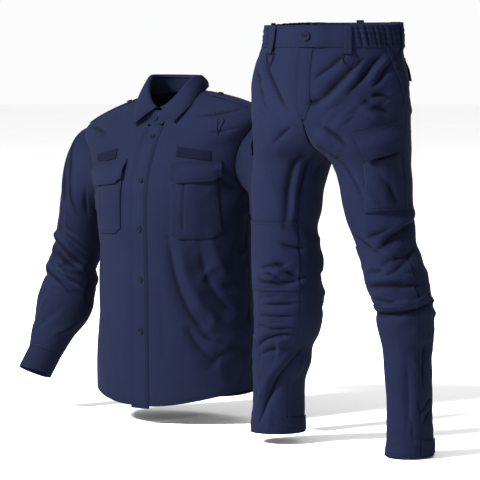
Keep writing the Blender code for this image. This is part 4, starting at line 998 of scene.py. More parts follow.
def collar_fall():
    angles = (-84 + 348 * shares(0.45))[None, :]
    fold, edge = collar_fold(angles), collar_edge(angles)
    out = points(np.cos(np.radians(angles)), np.sin(np.radians(angles)), 0.0)
    rise = points(0, 0, 1.0)
    rows = [
        fold - out * STAND_INSET - rise * (STAND_GAP - 0.0015),
        fold - out * 0.0038 - rise * 0.0030,
    ]
    for turn in np.radians(np.linspace(160, 10, 7)):
        over = 0.0005 + 0.0032 * math.cos(turn)
        under = 0.0014 - 0.0018 * math.sin(turn)
        rows.append(fold + out * over - rise * under)
    first = rows[-1]
    for share in shares(0.055)[2:]:
        bow = 0.0045 * math.sin(math.pi * share)
        rows.append(first + (edge - first) * share + out * bow)
    grid = shirt_world(np.concatenate(rows))
    cloth(
        "collar_fall", grid, wall=COLLAR_WALL, flip=True,
        edges="lrt", rows=(0.0060,),
    )


collar_stand()
collar_fall()
print("collar cut:", CUT["collar_stand"], CUT["collar_fall"])

# %% [markdown]
# What is sewn on the chest is made from the chest's own points, moved out by a layer. A pocket
# bag stands off in its middle and dips to its sewn edges, and the flap over it has mitred corners.

# %% Shirt trims
PLACKET_STEP = 0.005
BUTTON_SIZE, BUTTON_HEIGHT, BUTTON_X = 0.0135, 0.0026, 0.007
FRONT_BUTTONS = (0.259, 0.154, 0.036, -0.087, -0.214)
POCKETS = {
    1: dict(inner=0.088, outer=0.184, top=0.170, bottom=0.010),
    -1: dict(inner=0.054, outer=0.158, top=0.182, bottom=0.026),
}
FLAPS = {
    1: dict(inner=0.084, outer=0.190, top=0.190, mitre=0.141),
    -1: dict(inner=0.050, outer=0.184, top=0.208, mitre=0.148),
}
NAME_STRIPS = {
    1: dict(inner=0.090, outer=0.170, top=0.230, bottom=0.207, tilt=0.20),
    -1: dict(inner=0.092, outer=0.166, top=0.237, bottom=0.213, tilt=0.14),
}
STRAP = dict(inner=0.978, outer=0.872, half=0.021)
STRAP_LEVEL_BUTTON = 0.953


def placket():
    up = shares(0.69)[:, None]
    across = (-PLACKET_HALF + (2 * PLACKET_HALF + 0.002) * shares(0.051))[None, :]
    bottom, top = TORSO["front_z"][0] - PLACKET_STEP, TORSO["front_z"][-1] - 0.003
    z = between(bottom, top, up)
    sewn_down = 1 - ease(across, PLACKET_HALF - 0.006, PLACKET_HALF + 0.002)
    hem = TORSO["front_z"][0] + 0.001
    grid = on_torso(across, np.maximum(z, hem), (ON_CLOTH + 2 * SEAM) * sewn_down)
    grid[..., 2] -= np.clip(hem - z, 0, None)
    cloth(
        "placket", grid, edges="lrb",
        rows=(0.0022, 0.0070),
    )


def name_strip(word, side):
    corners = NAME_STRIPS[side]
    across, up = shares(0.08)[None, :], shares(0.024)[:, None]
    x = between(corners["inner"], corners["outer"], across)
    z = between(corners["bottom"], corners["top"], up) - corners["tilt"] * (x - corners["inner"])
    grid = on_torso(side * x, z, ON_CLOTH)
    cloth(
        f"name_strip_{word}", grid, wall=TAPE_WALL, flip=side < 0, finish="hook_tape",
        edges="lrtb", rows=(0.0018,),
    )


POCKET_PLEAT = {-1: 0.76, 1: 0.32}      # the pleat's share of the pocket's width


def pocket_stand(side, across, up):
    """How far a chest pocket stands off: up from its folded sides, with one pressed pleat."""
    rise = np.clip(np.sin(math.pi * across), 0, 1) ** 0.45
    groove = near(across + 0.06 * (1 - up), 0, POCKET_PLEAT[side], 0, 0.022, 1)
    groove = groove * ease(up, 0.06, 0.20)
    slope = 0.0024 * ease(across, 0.50, 0.75) if side > 0 else 0.0
    tall = np.clip(np.sin(math.pi * np.clip(up, 0, 0.9)), 0, 1) ** 0.4
    return np.maximum((0.0052 - 0.0034 * groove - slope) * rise * tall, 0.0)


def chest_pocket(word, side):
    corners = POCKETS[side]
    across, up = shares(0.11)[None, :], shares(0.155)[:, None]
    x = between(corners["inner"], corners["outer"], across)
    rounded = 0.012 * (ease(across, 0.8, 1) + 1 - ease(across, 0, 0.2))
    z = corners["bottom"] + rounded + (corners["top"] - corners["bottom"] - rounded) * up
    grid = on_torso(side * x, z, ON_CLOTH + pocket_stand(side, across, up))
    cloth(
        f"chest_pocket_{word}", grid, flip=side < 0,
        edges="lrb", rows=(0.0022, 0.0075),
    )


def pocket_flap(word, side):
    """A flap over the pocket's mouth, mitred at its lower corners."""
    corners = FLAPS[side]
    across, up = shares(0.13)[None, :], shares(0.05)[:, None]
    low = corners["mitre"] + 0.012 * (1 - ease(across, 0, 0.18)) + 0.012 * ease(across, 0.82, 1.0)
    x = between(corners["inner"], corners["outer"], across)
    z = between(low, corners["top"], up)
    lift = ON_CLOTH + (WALL + 0.0072) * (1 - ease(up, 0.45, 1.0))
    cloth(
        f"pocket_flap_{word}", on_torso(side * x, z, lift), flip=side < 0,
        edges="lrtb", rows=(0.0022, 0.0075),
    )


def shoulder_strap(word, side):
    """A strap along the shoulder from the armhole to a pointed, buttoned end near the collar."""
    levels = between(STRAP["outer"], STRAP["inner"], shares(0.13))[:, None]
    across = (2 * shares(0.042) - 1)[None, :]
    half = STRAP["half"] * (1 - 0.55 * ease(levels, 0.958, STRAP["inner"]))
    y = half * across - 0.003
    depth = np.where(y < 0, smooth(TORSO, "front_y", levels), smooth(TORSO, "back_y", levels))
    angle = np.degrees(np.arcsin(y / depth))
    angle = angle if side > 0 else 180 - angle
    cloth(
        f"shoulder_strap_{word}", torso(angle, levels, ON_CLOTH), flip=side < 0,
        edges="lrt", rows=(0.0022, 0.0070),
    )


def pen_loop():
    """The small V-shaped loop sewn on the left shoulder."""
    share = np.linspace(-1, 1, 25)[None, :]
    side = np.linspace(1, -1, 4)[:, None]
    x = 0.1845 + (0.0085 + 0.0022 * side) * share
    z = 0.256 - 0.0035 * side + 0.030 * abs(share)
    grid = on_torso(x, z, ON_CLOTH - SEAM / 2)
    cloth("pen_loop", grid, wall=TAPE_WALL)


# %% Building the shirt's trims
for word, side in SIDES.items():
    chest_pocket(word, side)
    pocket_flap(word, side)
    name_strip(word, side)
    shoulder_strap(word, side)
placket()
pen_loop()
print("pockets cut:", CUT["chest_pocket_left"], CUT["chest_pocket_right"])

# %% [markdown]
# The trousers are two tubes that meet in one seam above the fork. The legs stride, so the left
# knee is pushed forward and its cloth breaks into deep folds below the knee and beside it.

# %% The trousers' form
FORK = 0.235
HIPS = (
    (0.235, 0.0940, 0.0940, 0.000, 0.108, 0.112),
    (0.245, 0.0875, 0.1005, 0.000, 0.113, 0.118),
    (0.270, 0.0674, 0.1226, 0.000, 0.120, 0.124),
    (0.300, 0.0457, 0.1473, 0.000, 0.126, 0.128),
    (0.340, 0.0120, 0.1850, 0.000, 0.129, 0.131),
    (0.390, 0.0000, 0.1980, 0.000, 0.129, 0.130),
    (0.430, 0.0000, 0.1890, 0.000, 0.127, 0.128),
    (0.480, 0.0000, 0.1715, 0.000, 0.122, 0.122),
    (0.550, 0.0000, 0.1640, 0.000, 0.119, 0.118),
)
LEGS = {
    -1: table(
        "z centre half middle front back",
        (-0.420, 0.1592, 0.0610, 0.020, 0.067, 0.067),
        (-0.397, 0.1592, 0.0604, 0.020, 0.067, 0.067),
        (-0.339, 0.1555, 0.0586, 0.015, 0.065, 0.065),
        (-0.292, 0.1474, 0.0600, 0.005, 0.065, 0.066),
        (-0.255, 0.1360, 0.0660, -0.003, 0.073, 0.073),
        (-0.213, 0.1270, 0.0670, -0.010, 0.074, 0.074),
        (-0.188, 0.1165, 0.0722, -0.015, 0.080, 0.080),
        (-0.139, 0.1039, 0.0770, -0.025, 0.085, 0.085),
        (-0.090, 0.1005, 0.0770, -0.030, 0.085, 0.085),
        (-0.018, 0.1050, 0.0771, -0.028, 0.085, 0.085),
        (0.024, 0.1100, 0.0756, -0.025, 0.083, 0.083),
        (0.066, 0.1165, 0.0724, -0.020, 0.080, 0.080),
        (0.098, 0.1151, 0.0769, -0.015, 0.085, 0.085),
        (0.164, 0.1127, 0.0815, -0.010, 0.090, 0.092),
        *HIPS,
    ),
    1: table(
        "z centre half middle front back",
        (-0.442, 0.2178, 0.0535, -0.030, 0.059, 0.059),
        (-0.391, 0.2190, 0.0514, -0.030, 0.056, 0.056),
        (-0.320, 0.2185, 0.0497, -0.030, 0.055, 0.055),
        (-0.252, 0.2169, 0.0524, -0.035, 0.058, 0.058),
        (-0.197, 0.2168, 0.0542, -0.040, 0.060, 0.060),
        (-0.145, 0.2138, 0.0623, -0.043, 0.069, 0.069),
        (-0.099, 0.2120, 0.0651, -0.045, 0.072, 0.072),
        (-0.058, 0.1941, 0.0684, -0.040, 0.075, 0.075),
        (-0.013, 0.1763, 0.0677, -0.030, 0.075, 0.075),
        (0.037, 0.1530, 0.0666, -0.025, 0.074, 0.074),
        (0.085, 0.1364, 0.0732, -0.020, 0.081, 0.081),
        (0.129, 0.1247, 0.0772, -0.015, 0.085, 0.086),
        (0.170, 0.1189, 0.0794, -0.010, 0.088, 0.092),
        *HIPS,
    ),
}
OUTSEAM = table("z angle", (-0.46, -32), (-0.10, -28), (0.05, -18), (0.30, -1), (0.55, 2))
INSEAM = table("z angle", (-0.46, -145), (0.05, -146), (0.16, -152), (FORK, -180))
HIP_SHIFT = -0.006
WAISTBAND_BOTTOM, WAISTBAND_FRONT, WAISTBAND_BACK = 0.480, 0.530, 0.538
WAISTBAND_WALL = 0.0030
LEG_GIRTH = 0.48
KNEE_HEIGHT = {-1: -0.040, 1: -0.020}
KNEE_REACH = 0.085
LEG_CRUSH, LEG_BROAD, LEG_FINE, HIP_CRUSH = 0.0042, 0.0017, 0.0006, 0.0022
MOST_OUT, MOST_IN = 0.0080, 0.0160      # as far as all folds together may move the cloth
POCKET_SLANT, POCKET_LEAN, POCKET_TRIM = -7.0, 13.0, 4.5    # the slant pocket's edge, in degrees
MOUTH_DEPTH = 0.0055                    # how far the cloth behind that edge lies in

# %% The trousers' folds
LEG_SCALE = dict(girth=LEG_GIRTH, deeper=1.9, wider=0.95)
LEG_FOLDS = {
    -1: fold_table(
        (-72, -106, -142, -104, 3, 6, -5),
        (-80, -134, -136, -134, 3, 6, -4.2),
        (-82, -147, -132, -146, 2, 5, -3.8),
        (-84, -166, -134, -163, 2, 6, -4.2),
        (-84, -60, -150, -48, 4, 8, -8.5),
        (-84, -30, -112, -54, 1, 6, -5.5),
        (-114, -26, -90, -50, 1, 6, 4),
        (-118, -30, -142, -46, 1, 6, -5.5),
        (-98, -12, -130, -28, 2, 6, -5),
        (-70, -40, -140, -24, -4, 8, 5),
        (-76, -22, -125, -12, 3, 6, -4.5),
        (-64, -70, -110, -78, 2, 7, 4),
        (-58, -212, -134, -178, -6, 8, -7),
        (-70, -232, -118, -214, -3, 7, -3.5),
        (-154, -228, -80, -388, 6, 10, -9.5),
        (-140, -215, -66, -360, 6, 16, 4),
        (-128, 240, -122, 70, 2, 11, -5),
        (-138, 245, -134, 80, 2, 9, 4.5),
        (-147, 225, -144, 60, 2, 8, -4.5),
        (-158, 20, -110, 34, -3, 8, -4.5),
        (-150, -300, -168, -230, 3, 9, 4.5),
        (-30, -350, -60, -400, 4, 10, -3.5),
        (-20, -100, 60, -60, 6, 13, -6.5),
        (80, -80, 170, -40, 6, 13, -8),
        (60, -150, 160, -120, 6, 13, -6.5),
        (70, -115, 150, -85, 4, 12, 5),
        (50, 200, 100, 80, 6, 17, -5.5),
        (20, -210, 110, -190, 4, 12, -4.5),
        (40, -290, 120, -340, 8, 14, -5),
        **LEG_SCALE,
    ),
    1: fold_table(
        (-70, 32, 22, 86, 6, 14, -14),
        (-56, 56, 30, 108, 4, 13, 7),
        (-95, 52, -58, 64, 3, 6, -3.5),
        (-62, 6, 10, 30, -4, 11, -6),
        (-66, -26, -12, 14, 2, 7, -4.8),
        (-128, -46, -26, -34, 4, 8, 5.5),
        (-132, -57, -20, -52, 4, 8, -8.5),
        (-110, -72, -60, -66, 3, 7, 3.5),
        (-154, -117, 4, -90, -8, 9, -10.5),
        (-150, -103, 4, -76, -8, 10, 6.5),
        (-140, -80, -70, -90, 2, 6, -3),
        (-140, 60, -75, 18, 4, 10, -4.5),
        (-115, 250, -84, 140, 4, 14, -4.5),
        (-100, 210, -60, 120, 4, 12, 3),
        (-50, 190, -25, 120, 3, 9, -4),
        (-150, 150, -130, 40, 3, 12, -4),
        (-14, -180, -22, -280, 2, 8, -5),
        (-5, -185, -12, -300, 2, 6, 4),
        (-30, -340, 12, -310, 3, 7, -4.5),
        (-28, -365, 14, -335, 3, 7, -4),
        (-60, -220, -66, -380, 3, 16, -3),
        (20, -100, 110, -60, 6, 13, -6.5),
        (80, -50, 170, -10, 6, 13, -8),
        (60, -150, 160, -120, 6, 13, -6.5),
        (70, -20, 150, 15, 4, 12, 5),
        (40, 200, 110, 90, 6, 17, -5.5),
        (60, -230, 130, -280, 6, 13, -5),
        **LEG_SCALE,
    ),
}
LEG_FOLDS[-1] = joined(
    LEG_FOLDS[-1],
    scattered(
        45, 14, (-0.19, -0.08), (-0.20, -0.02), (-12, 20),
        length=(0.03, 0.07), width=(0.005, 0.007), height=(0.002, 0.005),
    ),
    scattered(
        47, 9, (-0.19, -0.06), (-0.40, -0.20), (60, 105),
        length=(0.05, 0.11), width=(0.006, 0.009), height=(0.002, 0.004),
    ),
)
LEG_FOLDS[1] = joined(
    LEG_FOLDS[1],
    scattered(
        46, 16, (-0.17, -0.02), (-0.12, 0.07), (0, 30),
        length=(0.03, 0.08), width=(0.005, 0.007), height=(0.002, 0.005),
    ),
    scattered(
        48, 9, (-0.08, 0.00), (-0.40, -0.14), (70, 110),
        length=(0.04, 0.10), width=(0.005, 0.008), height=(0.002, 0.004),
    ),
)
HIP_FOLDS = fold_table(
    (98, 470, 32, 412, 3, 8, -4.2),
    (128, 452, 36, 358, 5, 9, -7.5),
    (140, 440, 56, 345, 5, 11, 5),
    (160, 468, 126, 400, 3, 8, -6),
    (172, 466, 146, 390, 3, 7, 4.2),
    (178, 460, 158, 392, 3, 7, -4.8),
    (150, 378, 186, 366, 2, 8, -5.5),
    (150, 352, 184, 330, 2, 9, -5),
    (140, 334, 172, 312, 2, 8, 4),
    (-4, 346, 52, 362, 3, 10, -5),
    (50, 302, 104, 258, 4, 10, -5.5),
    (30, 290, 70, 250, 3, 10, 3.5),
    (-120, 455, -45, 345, -4, 12, -4.5),
    (-150, 440, -110, 350, -4, 13, -3.5),
    (-30, 300, -85, 262, -3, 9, -3.5),
    (8, 460, 2, 370, -2, 7, -2.8),
    deeper=1.9,
)
HIP_FOLDS = joined(
    HIP_FOLDS,
    scattered(
        43, 18, (0.06, 0.18), (0.30, 0.47), (35, 62),
        length=(0.02, 0.06), width=(0.005, 0.007), height=(0.002, 0.0045),
    ),
)
SEAT_FOLDS = joined(
    fold_table(
        (120, 400, 50, 290, 8, 16, -6),
        (-125, 400, -50, 290, -8, 16, -6),
        (60, 270, 150, 240, 4, 14, -5.5),
        (-60, 270, -150, 240, -4, 14, -5.5),
    ),
    scattered(
        41, 7, (0.04, 0.16), (0.26, 0.45), (40, 70),
        length=(0.04, 0.09), width=(0.008, 0.012), height=(0.002, 0.004),
    ),
    scattered(
        42, 7, (-0.16, -0.04), (0.26, 0.45), (110, 140),
        length=(0.04, 0.09), width=(0.008, 0.012), height=(0.002, 0.004),
    ),
)


def leg_smooth(side, angle, z):
    """Half the trousers without folds. Angle 0 is the outer side, -90 the front and 90 the back."""
    rows = LEGS[side]
    turn = np.radians(angle)
    depth = np.where(np.sin(turn) < 0, smooth(rows, "front", z), smooth(rows, "back", z))
    x = side * (smooth(rows, "centre", z) + smooth(rows, "half", z) * np.cos(turn))
    return points(x, smooth(rows, "middle", z) + depth * np.sin(turn), z)


def leg(side, angle, z, lift=0.0):
    """Points on the trousers, lift metres out from the cloth's inner face."""
    angle, z = np.broadcast_arrays(np.asarray(angle, float), np.asarray(z, float))

    def scaled(u, v):
        return leg_smooth(side, u * HUNDRED, v)

    across = np.where(abs(angle) > 180, angle - 360 * np.sign(angle), angle)
    fold = fold_depth(LEG_FOLDS[side], across * LEG_GIRTH / 360, z)
    plain = leg_smooth(side, angle, z)
    x, y = plain[..., 0], plain[..., 1]
    hips = np.where(y < 0, fold_depth(HIP_FOLDS, x, z), fold_depth(SEAT_FOLDS, x, z))
    fold = fold + hips * ease(abs(x), 0.004, 0.03)
    knee = np.exp(-(((z - KNEE_HEIGHT[side]) / KNEE_REACH) ** 2))
    behind = ease(np.sin(np.radians(angle)), -0.2, 0.6)
    crush = knee * (0.25 + 0.75 * behind) + 0.7 * near(abs(x), z, 0.02, 0.26, 0.06, 0.06)
    outer_calf = near(np.cos(np.radians(angle)), z, 1.0, -0.16, 0.5, 0.12)
    crush = crush + 0.6 * outer_calf + 0.5 * np.exp(-(((z + 0.40) / 0.03) ** 2))
    fold = fold + LEG_CRUSH * crush * creases(plain, 51 + side, (0.050, 0.050, 0.026), 25 * side)
    fold = fold + LEG_BROAD * ripple(plain, 54 + side, (0.070, 0.070, 0.110))
    fold = fold + LEG_FINE * ripple(plain, 57 + side, (0.028, 0.028, 0.050))
    hip = near(abs(x), z, 0.14, 0.40, 0.06, 0.07) + 0.8 * near(abs(x), z, 0.16, 0.33, 0.05, 0.03)
    hip = HIP_CRUSH * np.minimum(hip, 1)
    fold = fold + hip * creases(plain, 60, (0.060, 0.060, 0.016), 38 * side)
    limit = np.where(fold > 0, MOST_OUT, MOST_IN)
    fold = limit * np.tanh(fold / limit) * ease(WAISTBAND_BOTTOM - z, 0.0, 0.03)
    mouth = across - (POCKET_SLANT - POCKET_LEAN * ease(z, 0.34, 0.50) + POCKET_TRIM)
    sunk = ease(mouth, 0.2, 2.2) * (1 - ease(mouth, 26, 50)) * ease(z, 0.342, 0.366)
    fold = fold - MOUTH_DEPTH * sunk * ease(WAISTBAND_BOTTOM - z, 0.0, 0.012)
    place = lifted(scaled, angle / HUNDRED, z, fold + lift, side)
    place[..., 0] += HIP_SHIFT * ease(z, 0.10, 0.32) * (1 - ease(z, 0.42, 0.52))
    return turned(place, TROUSERS_YAW, TROUSERS_PLACE)


def centre_angle(side, z):
    """How far round the front panel goes before it meets the other half, as an angle above 0."""
    centre, half = smooth(LEGS[side], "centre", z), smooth(LEGS[side], "half", z)
    room = SEAM / 2 + (WALL + 0.0008) * centre / half
    return np.degrees(np.arccos(np.clip((room - centre) / half, -1, 1)))


# %% [markdown]
# Four panels make the trousers. Each runs from the inseam to the outseam, and above the fork it
# runs to the seam in the middle instead.

# %% Trouser panels
def trouser_panel(word, side, back):
    bottom, top = LEGS[side]["z"][0], WAISTBAND_BOTTOM + TUCKED
    below = between(bottom, FORK, shares(FORK - bottom)[:-3])
    above = between(FORK, top, shares(top - FORK)[2:])
    z = np.unique(np.concatenate((below, [FORK], above)))[:, None]
    hips = z >= FORK
    outer = smooth(OUTSEAM, "angle", z)
    inner = np.where(hips, -centre_angle(side, z), smooth(INSEAM, "angle", np.minimum(z, FORK)))
    inner = np.maximum(inner, -179.5)
    if back:
        outer, inner = np.where(hips, centre_angle(side, z), 360 + inner), outer
        outer = np.minimum(outer, np.where(hips, 179.5, 360))
    length = 0.30 if back else 0.19
    across = shares(length, 0.0048)[None, :]
    meeting = ease(z, FORK - 0.02, FORK + 0.01)
    inside = across if back else 1 - across
    sunk = dip(across, length) * (1 - meeting * (inside > 0.5))
    grid = trim(leg(side, between(inner, outer, across), z, sunk), left=True, right=True)
    kind = "back" if back else "front"
    cloth(
        f"trouser_{kind}_{word}", grid, flip=side < 0,
        edges="lb" if back else "rb",
    )


def hips_at(x, z, lift=0.0):
    """Points on the trousers' front above the fork, given as seen from straight in front."""
    x, z = np.broadcast_arrays(np.asarray(x, float), np.asarray(z, float))
    made = []
    for side in (-1, 1):
        centre, half = smooth(LEGS[side], "centre", z), smooth(LEGS[side], "half", z)
        angle = -np.degrees(np.arccos(np.clip((abs(x) - centre) / half, -0.999, 0.999)))
        made.append(leg(side, angle, z, lift))
    return np.where((x >= 0)[..., None], made[1], made[0])


def band(angle, z, lift):
    """Points round the waist, where one angle goes all round: 0 is the left side, -90 the front."""
    angle, z = np.broadcast_arrays(np.asarray(angle, float), np.asarray(z, float))
    angle = (angle + 180) % 360 - 180
    return leg(1, angle, z, lift)


for word, side in SIDES.items():
    trouser_panel(word, side, back=False)
    trouser_panel(word, side, back=True)
print("trouser fronts cut:", CUT["trouser_front_right"], "backs:", CUT["trouser_back_right"])

# %% [markdown]
# Elastic inside the waistband's sides draws it into soft upright waves. The front stays flat, and
# its left end laps over the right one for the button.

# %% Waistband, fly and belt loops
BAND_START, BAND_END = -78.0, -456.0        # degrees round the waist
BAND_LAP = (-438, -428)
GATHER_DEPTH = 0.0027
GATHER_LEAN = 4.0       # degrees that a gather moves round from the band's foot to its top
ROLL_DEPTH = 0.0006
FLY_FOOT = 0.318


def gathers(angle):
    """Waves at both sides, uneven in depth and spacing."""
    from_side = np.degrees(np.arcsin(np.sin(np.radians(angle))))
    place = ease(from_side, -52, -46) * (1 - ease(from_side, 48, 60))
    uneven = 2 * np.sin(np.radians(from_side * 11)) + from_side
    wave = np.sin(np.radians(uneven * 66)) + 0.45 * np.sin(np.radians(uneven * 41 + 40))
    return GATHER_DEPTH * place * wave


def waistband():
    """One strip round the waist. Its left end lies over its right one and takes the button."""
    angles = between(BAND_END, BAND_START, shares(0.99, 0.0036))[None, :]
    share = shares(0.054)[:, None]
    over = (1 - ease(angles, *BAND_LAP)) * (WAISTBAND_WALL + 2 * SEAM)
    back = ease(np.sin(np.radians(angles)), -0.3, 0.8)
    top = between(WAISTBAND_FRONT, WAISTBAND_BACK, back)
    z = between(WAISTBAND_BOTTOM + SEAM / 2, top, share)
    strength = np.sin(math.pi * np.clip(0.12 + 0.70 * share, 0, 1))
    waves = gathers(angles + GATHER_LEAN * (share - 0.3))
    rolled = ROLL_DEPTH * np.sin(share * 9 * math.pi) * (abs(waves) > 0.0001)
    lift = waves * strength + over + rolled
    cloth(
        "waistband", band(angles, z, lift), wall=WAISTBAND_WALL,
        edges="lrtb", rows=(0.0022, 0.0070),
    )


def fly():
    """The left front's edge, which lies over the right front."""
    z = between(FLY_FOOT, WAISTBAND_BOTTOM - 2 * SEAM, shares(0.165))[:, None]
    across = shares(0.04)[None, :]
    left = -0.020 + 0.016 * (1 - ease(z, 0.31, 0.36))
    right = 0.016 * ease(z, 0.30, 0.36) + 0.004
    lift = ON_CLOTH + SEAM - 0.0014 * ease(across, 0.4, 1.0)
    grid = hips_at(between(left, right, across), z, lift)
    cloth("fly", grid, edges="lr", rows=(0.0022, 0.0065))


LOOP_WALL = 0.0014
RING_LOOPS = table(
    "lift z",
    (0.0037, 0.5285),
    (0.0068, 0.518),
    (0.0074, 0.500),
    (0.0077, 0.482),
    (0.0077, 0.4680),
    (0.00715, 0.4664),
    (0.00595, 0.4658),
    (0.0047, 0.4664),
    (0.0040, 0.4680),
    (0.0036, 0.4750),
)
PLAIN_LOOPS = table(
    "lift z",
    (0.0042, 0.530),
    (0.0074, 0.520),
    (0.0078, 0.500),
    (0.0070, 0.483),
    (0.0038, 0.470),
    (0.0023, 0.464),
)
RING_BAR = (0.00595, 0.4682)
RING_WIRE, RING_HALF, RING_DROP = 0.0013, 0.0135, 0.030
RING_SHOULDER = 0.008       # the straight part of a ring beside its bar
FRONT_LOOP_ANGLE, LOOP_HALF = 55.0, 0.0085


def belt_loop(node, angle, profile, raised=0.0):
    """A strip from the waistband's top to below it. A ring loop turns back up round the bar."""
    reach = math.degrees(LOOP_HALF / 0.15)
    across = np.linspace(-reach, reach, 7)[None, :]
    rows = np.arange(len(profile["z"]))
    fine = np.linspace(0, rows[-1], rows[-1] * 4 + 1)
    track = dict(row=rows.astype(float), lift=profile["lift"][::-1], z=profile["z"][::-1])
    lift, z = smooth(track, "lift", fine)[:, None], smooth(track, "z", fine)[:, None]
    cloth(
        node, band(angle + across, z + raised * ease(z, 0.49, 0.53), lift), wall=LOOP_WALL,
        edges="lr", rows=(0.0022,),
    )


waistband()
fly()
belt_loop("back_loop", 90.0, PLAIN_LOOPS, 0.013)
for word, side in SIDES.items():
    front = -FRONT_LOOP_ANGLE if side > 0 else -180 + FRONT_LOOP_ANGLE
    belt_loop(f"ring_loop_{word}", front, RING_LOOPS)
    belt_loop(f"side_loop_{word}", 6.0 if side > 0 else 174.0, PLAIN_LOOPS, 0.006)
print("waistband cut:", CUT["waistband"])

# %% [markdown]
# Pockets, flaps, knee panels and hem tabs lie on the legs. They use the leg's own surface, folds
# and all, so they bend with it and can't pass through it.

# %% Trouser trims
CARGO = dict(low=-62, high=-12, top=0.262, bottom=0.108)
CARGO_TURN = {-1: 50, 1: 0}         # the right leg is twisted, and its pocket faces back
CARGO_FLARE = {-1: 0, 1: -20}
CARGO_BULGE = {-1: 0.005, 1: 0.010}
PLEAT_DEPTH = 0.0012
CARGO_FLAP = dict(low=-62, high=-13, top=0.290, bottom=0.226)
BACK_FLAP = dict(low=28, high=66, top=0.455, bottom=0.402)
HEM_TAB = dict(low=-30, high=40, top=0.038, bottom=0.006)
FLAP_TILT = 0.024
KNEES = {-1: (-0.076, 0.081), 1: (-0.101, 0.031)}
LEG_RADIUS = 0.078
MOUTH_FOOT = 0.350


def leg_patch(
    node, side, patch, lift, tilt=0.0, flare=0.0, turn=0.0, edges="lrtb",
):
    width = math.radians(patch["high"] - patch["low"]) * LEG_RADIUS
    across = shares(width)[None, :]
    up = shares(patch["top"] - patch["bottom"])[:, None]
    z = between(patch["bottom"], patch["top"], up) + tilt * across
    angle = turn + between(patch["low"] + flare * (1 - up), patch["high"], across)
    grid = leg(side, angle, z, lift(across, up))
    word = "left" if side > 0 else "right"
    cloth(f"{node}_{word}", grid, flip=side < 0, edges=edges)


def cargo(side):
    """Bellows: the bag rises steeply from its sewn sides and is flat on top, under its flap."""
    bulge = CARGO_BULGE[side]

    def bag(across, up):
        rise = np.clip(np.sin(math.pi * across), 0, 1) ** 0.40
        tall = np.clip(np.sin(math.pi * np.clip(up * 0.75 + 0.02, 0, 0.6)), 0, 1) ** 0.45
        mouth = 0.725 + 0.109 * across
        tall = tall * (1 - ease(up, mouth - 0.020, mouth))
        pleat = near(across, 0, 0.5, 0, 0.05, 1) - near(across, 0, 0.62, 0, 0.04, 1)
        return ON_CLOTH + (bulge + PLEAT_DEPTH * pleat) * rise * tall

    def flap(across, up):
        stand = np.sin(math.pi * (0.13 + 0.74 * across)) ** 0.40 * (1 - ease(up, 0.35, 1.0))
        under = (1 - ease(up, 0.40, 1.0)) * (WALL + LAY + 0.0060)
        return ON_CLOTH + under + bulge * stand

    turn = CARGO_TURN[side]
    leg_patch(
        "cargo_pocket", side, CARGO, bag, FLAP_TILT * 0.3, CARGO_FLARE[side], turn, edges="lrb",
    )
    leg_patch("cargo_flap", side, CARGO_FLAP, flap, FLAP_TILT, turn=turn)


def flat_lift(across, up):
    return ON_CLOTH


def back_flap_lift(across, up):
    return ON_CLOTH + 0.003 * (1 - ease(up, 0.2, 1))


def knee_panel(word, side):
    """A second layer over the knee, from seam to seam."""
    bottom, top = KNEES[side]
    z = between(bottom, top, shares(top - bottom))[:, None]
    inner, outer = smooth(INSEAM, "angle", z), smooth(OUTSEAM, "angle", z)
    across = (0.015 + 0.97 * shares(0.18, 0.0048))[None, :]
    grid = leg(side, between(inner, outer, across), z, ON_CLOTH)
    cloth(
        f"knee_panel_{word}", grid, flip=side < 0,
        edges="tb",
    )


def pocket_edge(word, side):
    z = between(MOUTH_FOOT, WAISTBAND_BOTTOM - 2 * SEAM, shares(0.13))[:, None]
    edge = POCKET_SLANT - POCKET_LEAN * ease(z, 0.34, 0.50)
    grid = leg(side, edge + POCKET_TRIM * np.linspace(0, 1, 6)[None, :], z, ON_CLOTH + SEAM)
    cloth(
        f"pocket_edge_{word}", grid, flip=side < 0, edges="lr",
        rows=(0.0022,),
    )


for word, side in SIDES.items():
    cargo(side)
    leg_patch("back_pocket_flap", side, BACK_FLAP, back_flap_lift)
    knee_panel(word, side)
    pocket_edge(word, side)
    hem = LEGS[side]["z"][0]
    turn = (HEM_TAB["low"], HEM_TAB["high"]) if side > 0 else (-208, -128)
    tab = dict(low=turn[0], high=turn[1], top=hem + HEM_TAB["top"], bottom=hem + HEM_TAB["bottom"])
    leg_patch("hem_tab", side, tab, flat_lift)
print("pieces of cloth:", len(CUT))

# %% [markdown]
# Two more seams show in the picture that aren't edges of a piece: the curved one over each thigh,
# which shapes the knee, and the fly's stitching. Thread alone draws them.

# %% Loose seams
THIGH_SEAM = table(
    "z angle", (0.040, -119), (0.097, -115), (0.155, -106), (0.200, -90), (0.235, -68),
)
FLY_SEAM = table(
    "z x", (0.330, -0.002), (0.345, -0.014), (0.365, -0.024), (0.400, -0.028), (0.476, -0.029),
)
for side in SIDES.values():
    height = np.linspace(0.045, 0.232, 90)
    for apart in (0.0, 4.0):
        angle = smooth(THIGH_SEAM, "angle", height) + apart
        SEWING["trousers"].append(leg(side, angle, height, WALL + THREAD_LIFT))
height = np.linspace(0.332, 0.474, 60)
for apart in (0.0, 0.006):
    x = smooth(FLY_SEAM, "x", height) - apart
    SEWING["trousers"].append(hips_at(x, height, WALL + THREAD_LIFT))
print("lines of thread:", {name: len(lines) for name, lines in SEWING.items()})

# %% [markdown]
# Thousands of stitches are one short piece of thread repeated along curves. Geometry Nodes does
# that: points at an even pitch, an instance on each that turns with the curve, then real geometry.

# %% Stitches
STITCH = {"Pitch": 0.0040, "Thread length": 0.0029, "Thread radius": 0.00026}


